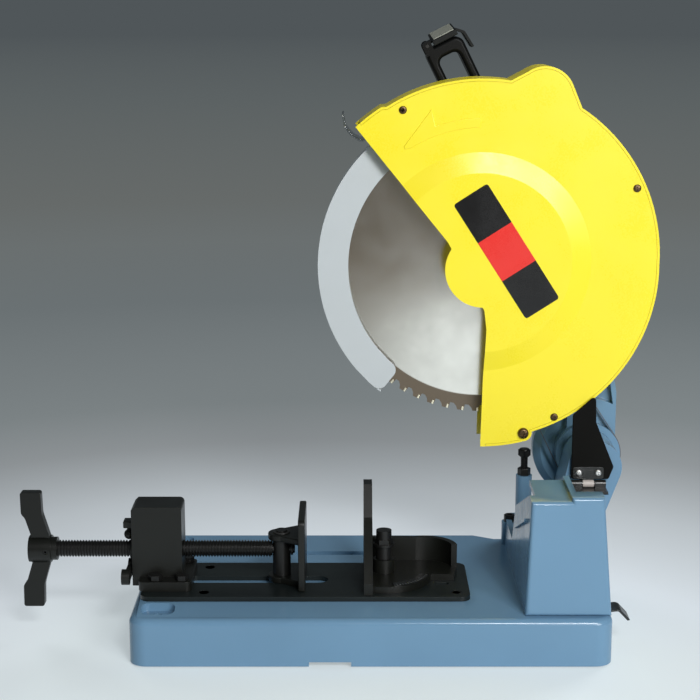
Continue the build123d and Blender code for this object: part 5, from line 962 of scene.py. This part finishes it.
# Label: a plain printed plate of thin plastic, black with a red middle, stuck flat on the
# pressed disc of the guard's cover.
label_black = (14, 14, 15)
label_red = (232, 50, 42)
label_ends = (Vector((0.1326, 0.0, 0.45475)), Vector((0.2098, 0.0, 0.33515)))
label_width = 0.041
label_corner = 0.003
label_thickness = 0.0005
red_half = 0.0238
label_along = label_ends[1] - label_ends[0]
label_tilt = Matrix.Rotation(atan2(label_along.z, label_along.x), 4, "Z")
label_middle = (label_ends[0] + label_ends[1]) / 2
label_place = at(label_middle.x, cover_low.y, label_middle.z, TO_FRONT @ label_tilt)
label = flat_plate(label_along.length, label_width, label_thickness, label_corner)
rounded(label, width=0.00015, low=60)
placed(label, label_place)
label_print = coated("label_print", (18, 18, 19), gloss=0.26, bump=0.02, mottle=0.02)
tree = label_print.node_tree
label_inputs = {"Vector": object_place(tree), "Location": label_place.translation,
                "Rotation": label_place.to_euler()}
printed = add_node(tree, "ShaderNodeMapping", label_inputs, vector_type="TEXTURE")
axes = add_node(tree, "ShaderNodeSeparateXYZ", {0: printed.outputs["Vector"]}).outputs
red = math(tree, "LESS_THAN", math(tree, "ABSOLUTE", axes["X"]), red_half)
inked = blend_colours(tree, red, shade(*label_black), shade(*label_red))
link_all(tree, tree.nodes["skin"].inputs, Colour=inked)
piece("guard_label", label, label_print, "head", "black_plastic")

# Chip shield: a bent strip of clear plastic across the tip of the guard, a little scuffed by
# chips and clamped under the guard's edge.
clear_plastic, tree, clear_shader = new_material("clear_plastic")
clear_shader.inputs["Base Color"].default_value = shade(236, 240, 240)
clear_shader.inputs["Transmission Weight"].default_value = 1.0
clear_shader.inputs["IOR"].default_value = 1.46
scuffs = remap(tree, noise(tree, object_place(tree), scale=240.0, detail=5.0), (0.4, 0.65), (0.03, 0.16))
link_all(tree, clear_shader.inputs, Roughness=scuffs)
finished("chip_shield", clear_plastic, "clear", edge=0.0004)

# Lower guard: a pressed steel ring in silver paint that turns round the arbor and opens as the
# head comes down, drawn by a flat band of spring steel.
silver_paint = coated("silver_paint", (190, 196, 198), gloss=0.4, grain=1400.0, bump=0.04, mottle=0.02)
ring_end = radians(221)
ring_growth = radians(4)
ring_shape = shape_of("lower_guard")
tail = [v for v in ring_shape.verts
        if ring_end - 2 * pi < atan2(v.co.z - arbor.z, v.co.x - arbor.x) < -pi / 2
        and (v.co - arbor).xz.length > blade_radius / 2]
bmesh.ops.rotate(ring_shape, cent=arbor, matrix=Matrix.Rotation(-ring_growth, 3, "Y"), verts=tail)
rounded(ring_shape, width=0.0006, segments=3)
piece("lower_guard_pressed", ring_shape, silver_paint, "lower_guard", "zinc", "lower_guard")
finished("guard_band", spring_steel, "bright_steel", edge=0.0)

# Studio: a paper floor painted pale round the saw and grey further off, a painted fall-off of light,
# with a brown patch in front, out of view, painted as the shade of a dim room for the blade to
# reflect. Two soft lamps stand in front and two weak ones behind.
floor_radius = 400.0
far_grey = (80, 86, 89)
# Painted light fall-off: the floor's colour runs from pale round the saw to grey far off.
floor_steps = ((0.0, (234, 244, 247)), (0.082, (226, 234, 240)), (0.168, (198, 205, 210)),
               (0.241, (155, 160, 163)), (0.294, (135, 142, 144)), (0.422, (111, 118, 120)),
               (0.56, (102, 106, 105)), (0.752, (92, 98, 99)), (1.0, far_grey))
near_distance = 0.3
fade_decades = 2.0
back_start = 0.25
front_start = 2.2
pale_centre = (0.6, -1.5)
pale_reach = (0.45, 0.62)
front_line = (-1.25, -0.85)
# Painted shade: a brown patch on the floor in front, out of view, that the blade reflects as a dim room.
painted_room_shade = (92, 84, 72)
room_centre = (0.1, -3.2, 0.0)
room_reach = (2.3, 4.4)
glow_reach = (0.8, 3.0)
glow_share = (0.45, 1.0)
floor_shape = bmesh.new()
bmesh.ops.create_circle(floor_shape, cap_ends=True, segments=96, radius=floor_radius)
floor_mesh = bpy.data.meshes.new("floor")
floor_shape.to_mesh(floor_mesh)
floor_shape.free()
floor = bpy.data.objects.new("floor", floor_mesh)
bpy.context.scene.collection.objects.link(floor)
paper, tree, paper_shader = new_material("floor_paper")
paper_shader.inputs["Roughness"].default_value = 0.85
paper_shader.inputs["Specular IOR Level"].default_value = 0.2
floor_place = object_place(tree)
axes = add_node(tree, "ShaderNodeSeparateXYZ", {0: floor_place}).outputs
past_front = math(tree, "MINIMUM", math(tree, "ADD", axes["Y"], front_start), 0.0)
past_back = math(tree, "ADD", axes["Y"], back_start)
behind = math(tree, "MAXIMUM", past_back, math(tree, "MULTIPLY", past_front, -1.0))
distance = math(tree, "MAXIMUM", length_of(tree, behind, axes["X"]), near_distance)
decades = math(tree, "LOGARITHM", math(tree, "DIVIDE", distance, near_distance), 10.0)
ramp = add_node(tree, "ShaderNodeValToRGB", {"Fac": math(tree, "DIVIDE", decades, fade_decades)})
while len(ramp.color_ramp.elements) < len(floor_steps):
    ramp.color_ramp.elements.new(0.5)
for element, (position, colour) in zip(ramp.color_ramp.elements, floor_steps):
    element.position = position
    element.color = shade(*colour)
# Mask of the painted room shade: past the pale zone, in front, and near the room's centre.
forward = math(tree, "MINIMUM", math(tree, "SUBTRACT", axes["Y"], pale_centre[1]), 0.0)
sideways = math(tree, "MINIMUM", math(tree, "SUBTRACT", axes["X"], pale_centre[0]), 0.0)
past_pale = remap(tree, length_of(tree, forward, sideways), pale_reach, (0.0, 1.0))
is_front = remap(tree, axes["Y"], front_line, (1.0, 0.0))
from_room = add_node(tree, "ShaderNodeVectorMath", {0: floor_place, 1: room_centre}, operation="DISTANCE")
is_room = remap(tree, from_room.outputs["Value"], room_reach, (1.0, 0.0))
room = math(tree, "MULTIPLY", math(tree, "MULTIPLY", past_pale, is_front), is_room)
paper_colour = blend_colours(tree, room, ramp.outputs["Color"], shade(*painted_room_shade))
link_all(tree, paper_shader.inputs, Base_Color=paper_colour)
glow = add_node(tree, "ShaderNodeEmission", {"Color": paper_colour, "Strength": 1.0})
path = tree.nodes.new("ShaderNodeLightPath").outputs
seen = math(tree, "MAXIMUM", path["Is Camera Ray"], path["Is Glossy Ray"])
seen = math(tree, "MAXIMUM", seen, path["Is Transmission Ray"])
glowing = math(tree, "MULTIPLY", seen, remap(tree, distance, glow_reach, glow_share))
shown = add_node(tree, "ShaderNodeMixShader", {0: glowing, 1: paper_shader.outputs["BSDF"],
                                               2: glow.outputs["Emission"]})
link_all(tree, tree.nodes["Material Output"].inputs, Surface=shown.outputs["Shader"])
floor_mesh.materials.append(paper)

world = bpy.data.worlds.new("studio")
world.use_nodes = True
world.node_tree.nodes["Background"].inputs["Color"].default_value = shade(*far_grey)
world.node_tree.nodes["Background"].inputs["Strength"].default_value = 1.0
bpy.context.scene.world = world


def lamp(name, place, aim, size, power, sheen=True):
    """Soft rectangular lamp aimed at a point, with or without its own reflection in gloss."""
    data = bpy.data.lights.new(name, "AREA")
    data.shape = "RECTANGLE"
    data.size, data.size_y = size
    data.energy = power
    made = bpy.data.objects.new(name, data)
    made.location = place
    made.visible_glossy = sheen
    made.rotation_euler = (Vector(aim) - Vector(place)).to_track_quat("-Z", "Y").to_euler()
    bpy.context.scene.collection.objects.link(made)


lamp("front_lamp", (1.25, -2.5, 1.1), (0.05, -0.05, 0.28), size=(1.2, 1.2), power=47)
lamp("window_lamp", (0.57, -2.3, 1.75), (0.1, 0.0, 0.2), size=(0.56, 0.3), power=28)
lamp("rear_lamp", (1.9, 1.9, 1.7), (0.1, 0.0, 0.3), size=(1.2, 1.2), power=34, sheen=False)
lamp("left_rear_lamp", (-1.7, 2.3, 1.9), (0.0, 0.0, 0.3), size=(1.2, 1.2), power=22, sheen=False)

# Camera: a long lens in front of the saw, level across and 12 degrees down, where the
# photograph was taken from. Its focal length is given in pixels of the 700 px frame.
frame_pixels = 700
focal_pixels = 1650
sensor_width = 36.0
camera_down = 12
camera_data = bpy.data.cameras.new("camera")
camera_data.sensor_width = sensor_width
camera_data.lens = focal_pixels * sensor_width / frame_pixels
camera_data.clip_end = 1000.0
camera = bpy.data.objects.new("camera", camera_data)
camera.location = (0.0088, -1.75, 0.6508)
camera.rotation_euler = (radians(90 - camera_down), 0.0, 0.0)
bpy.context.scene.collection.objects.link(camera)
bpy.context.scene.camera = camera
bpy.context.scene.view_settings.view_transform = "Standard"
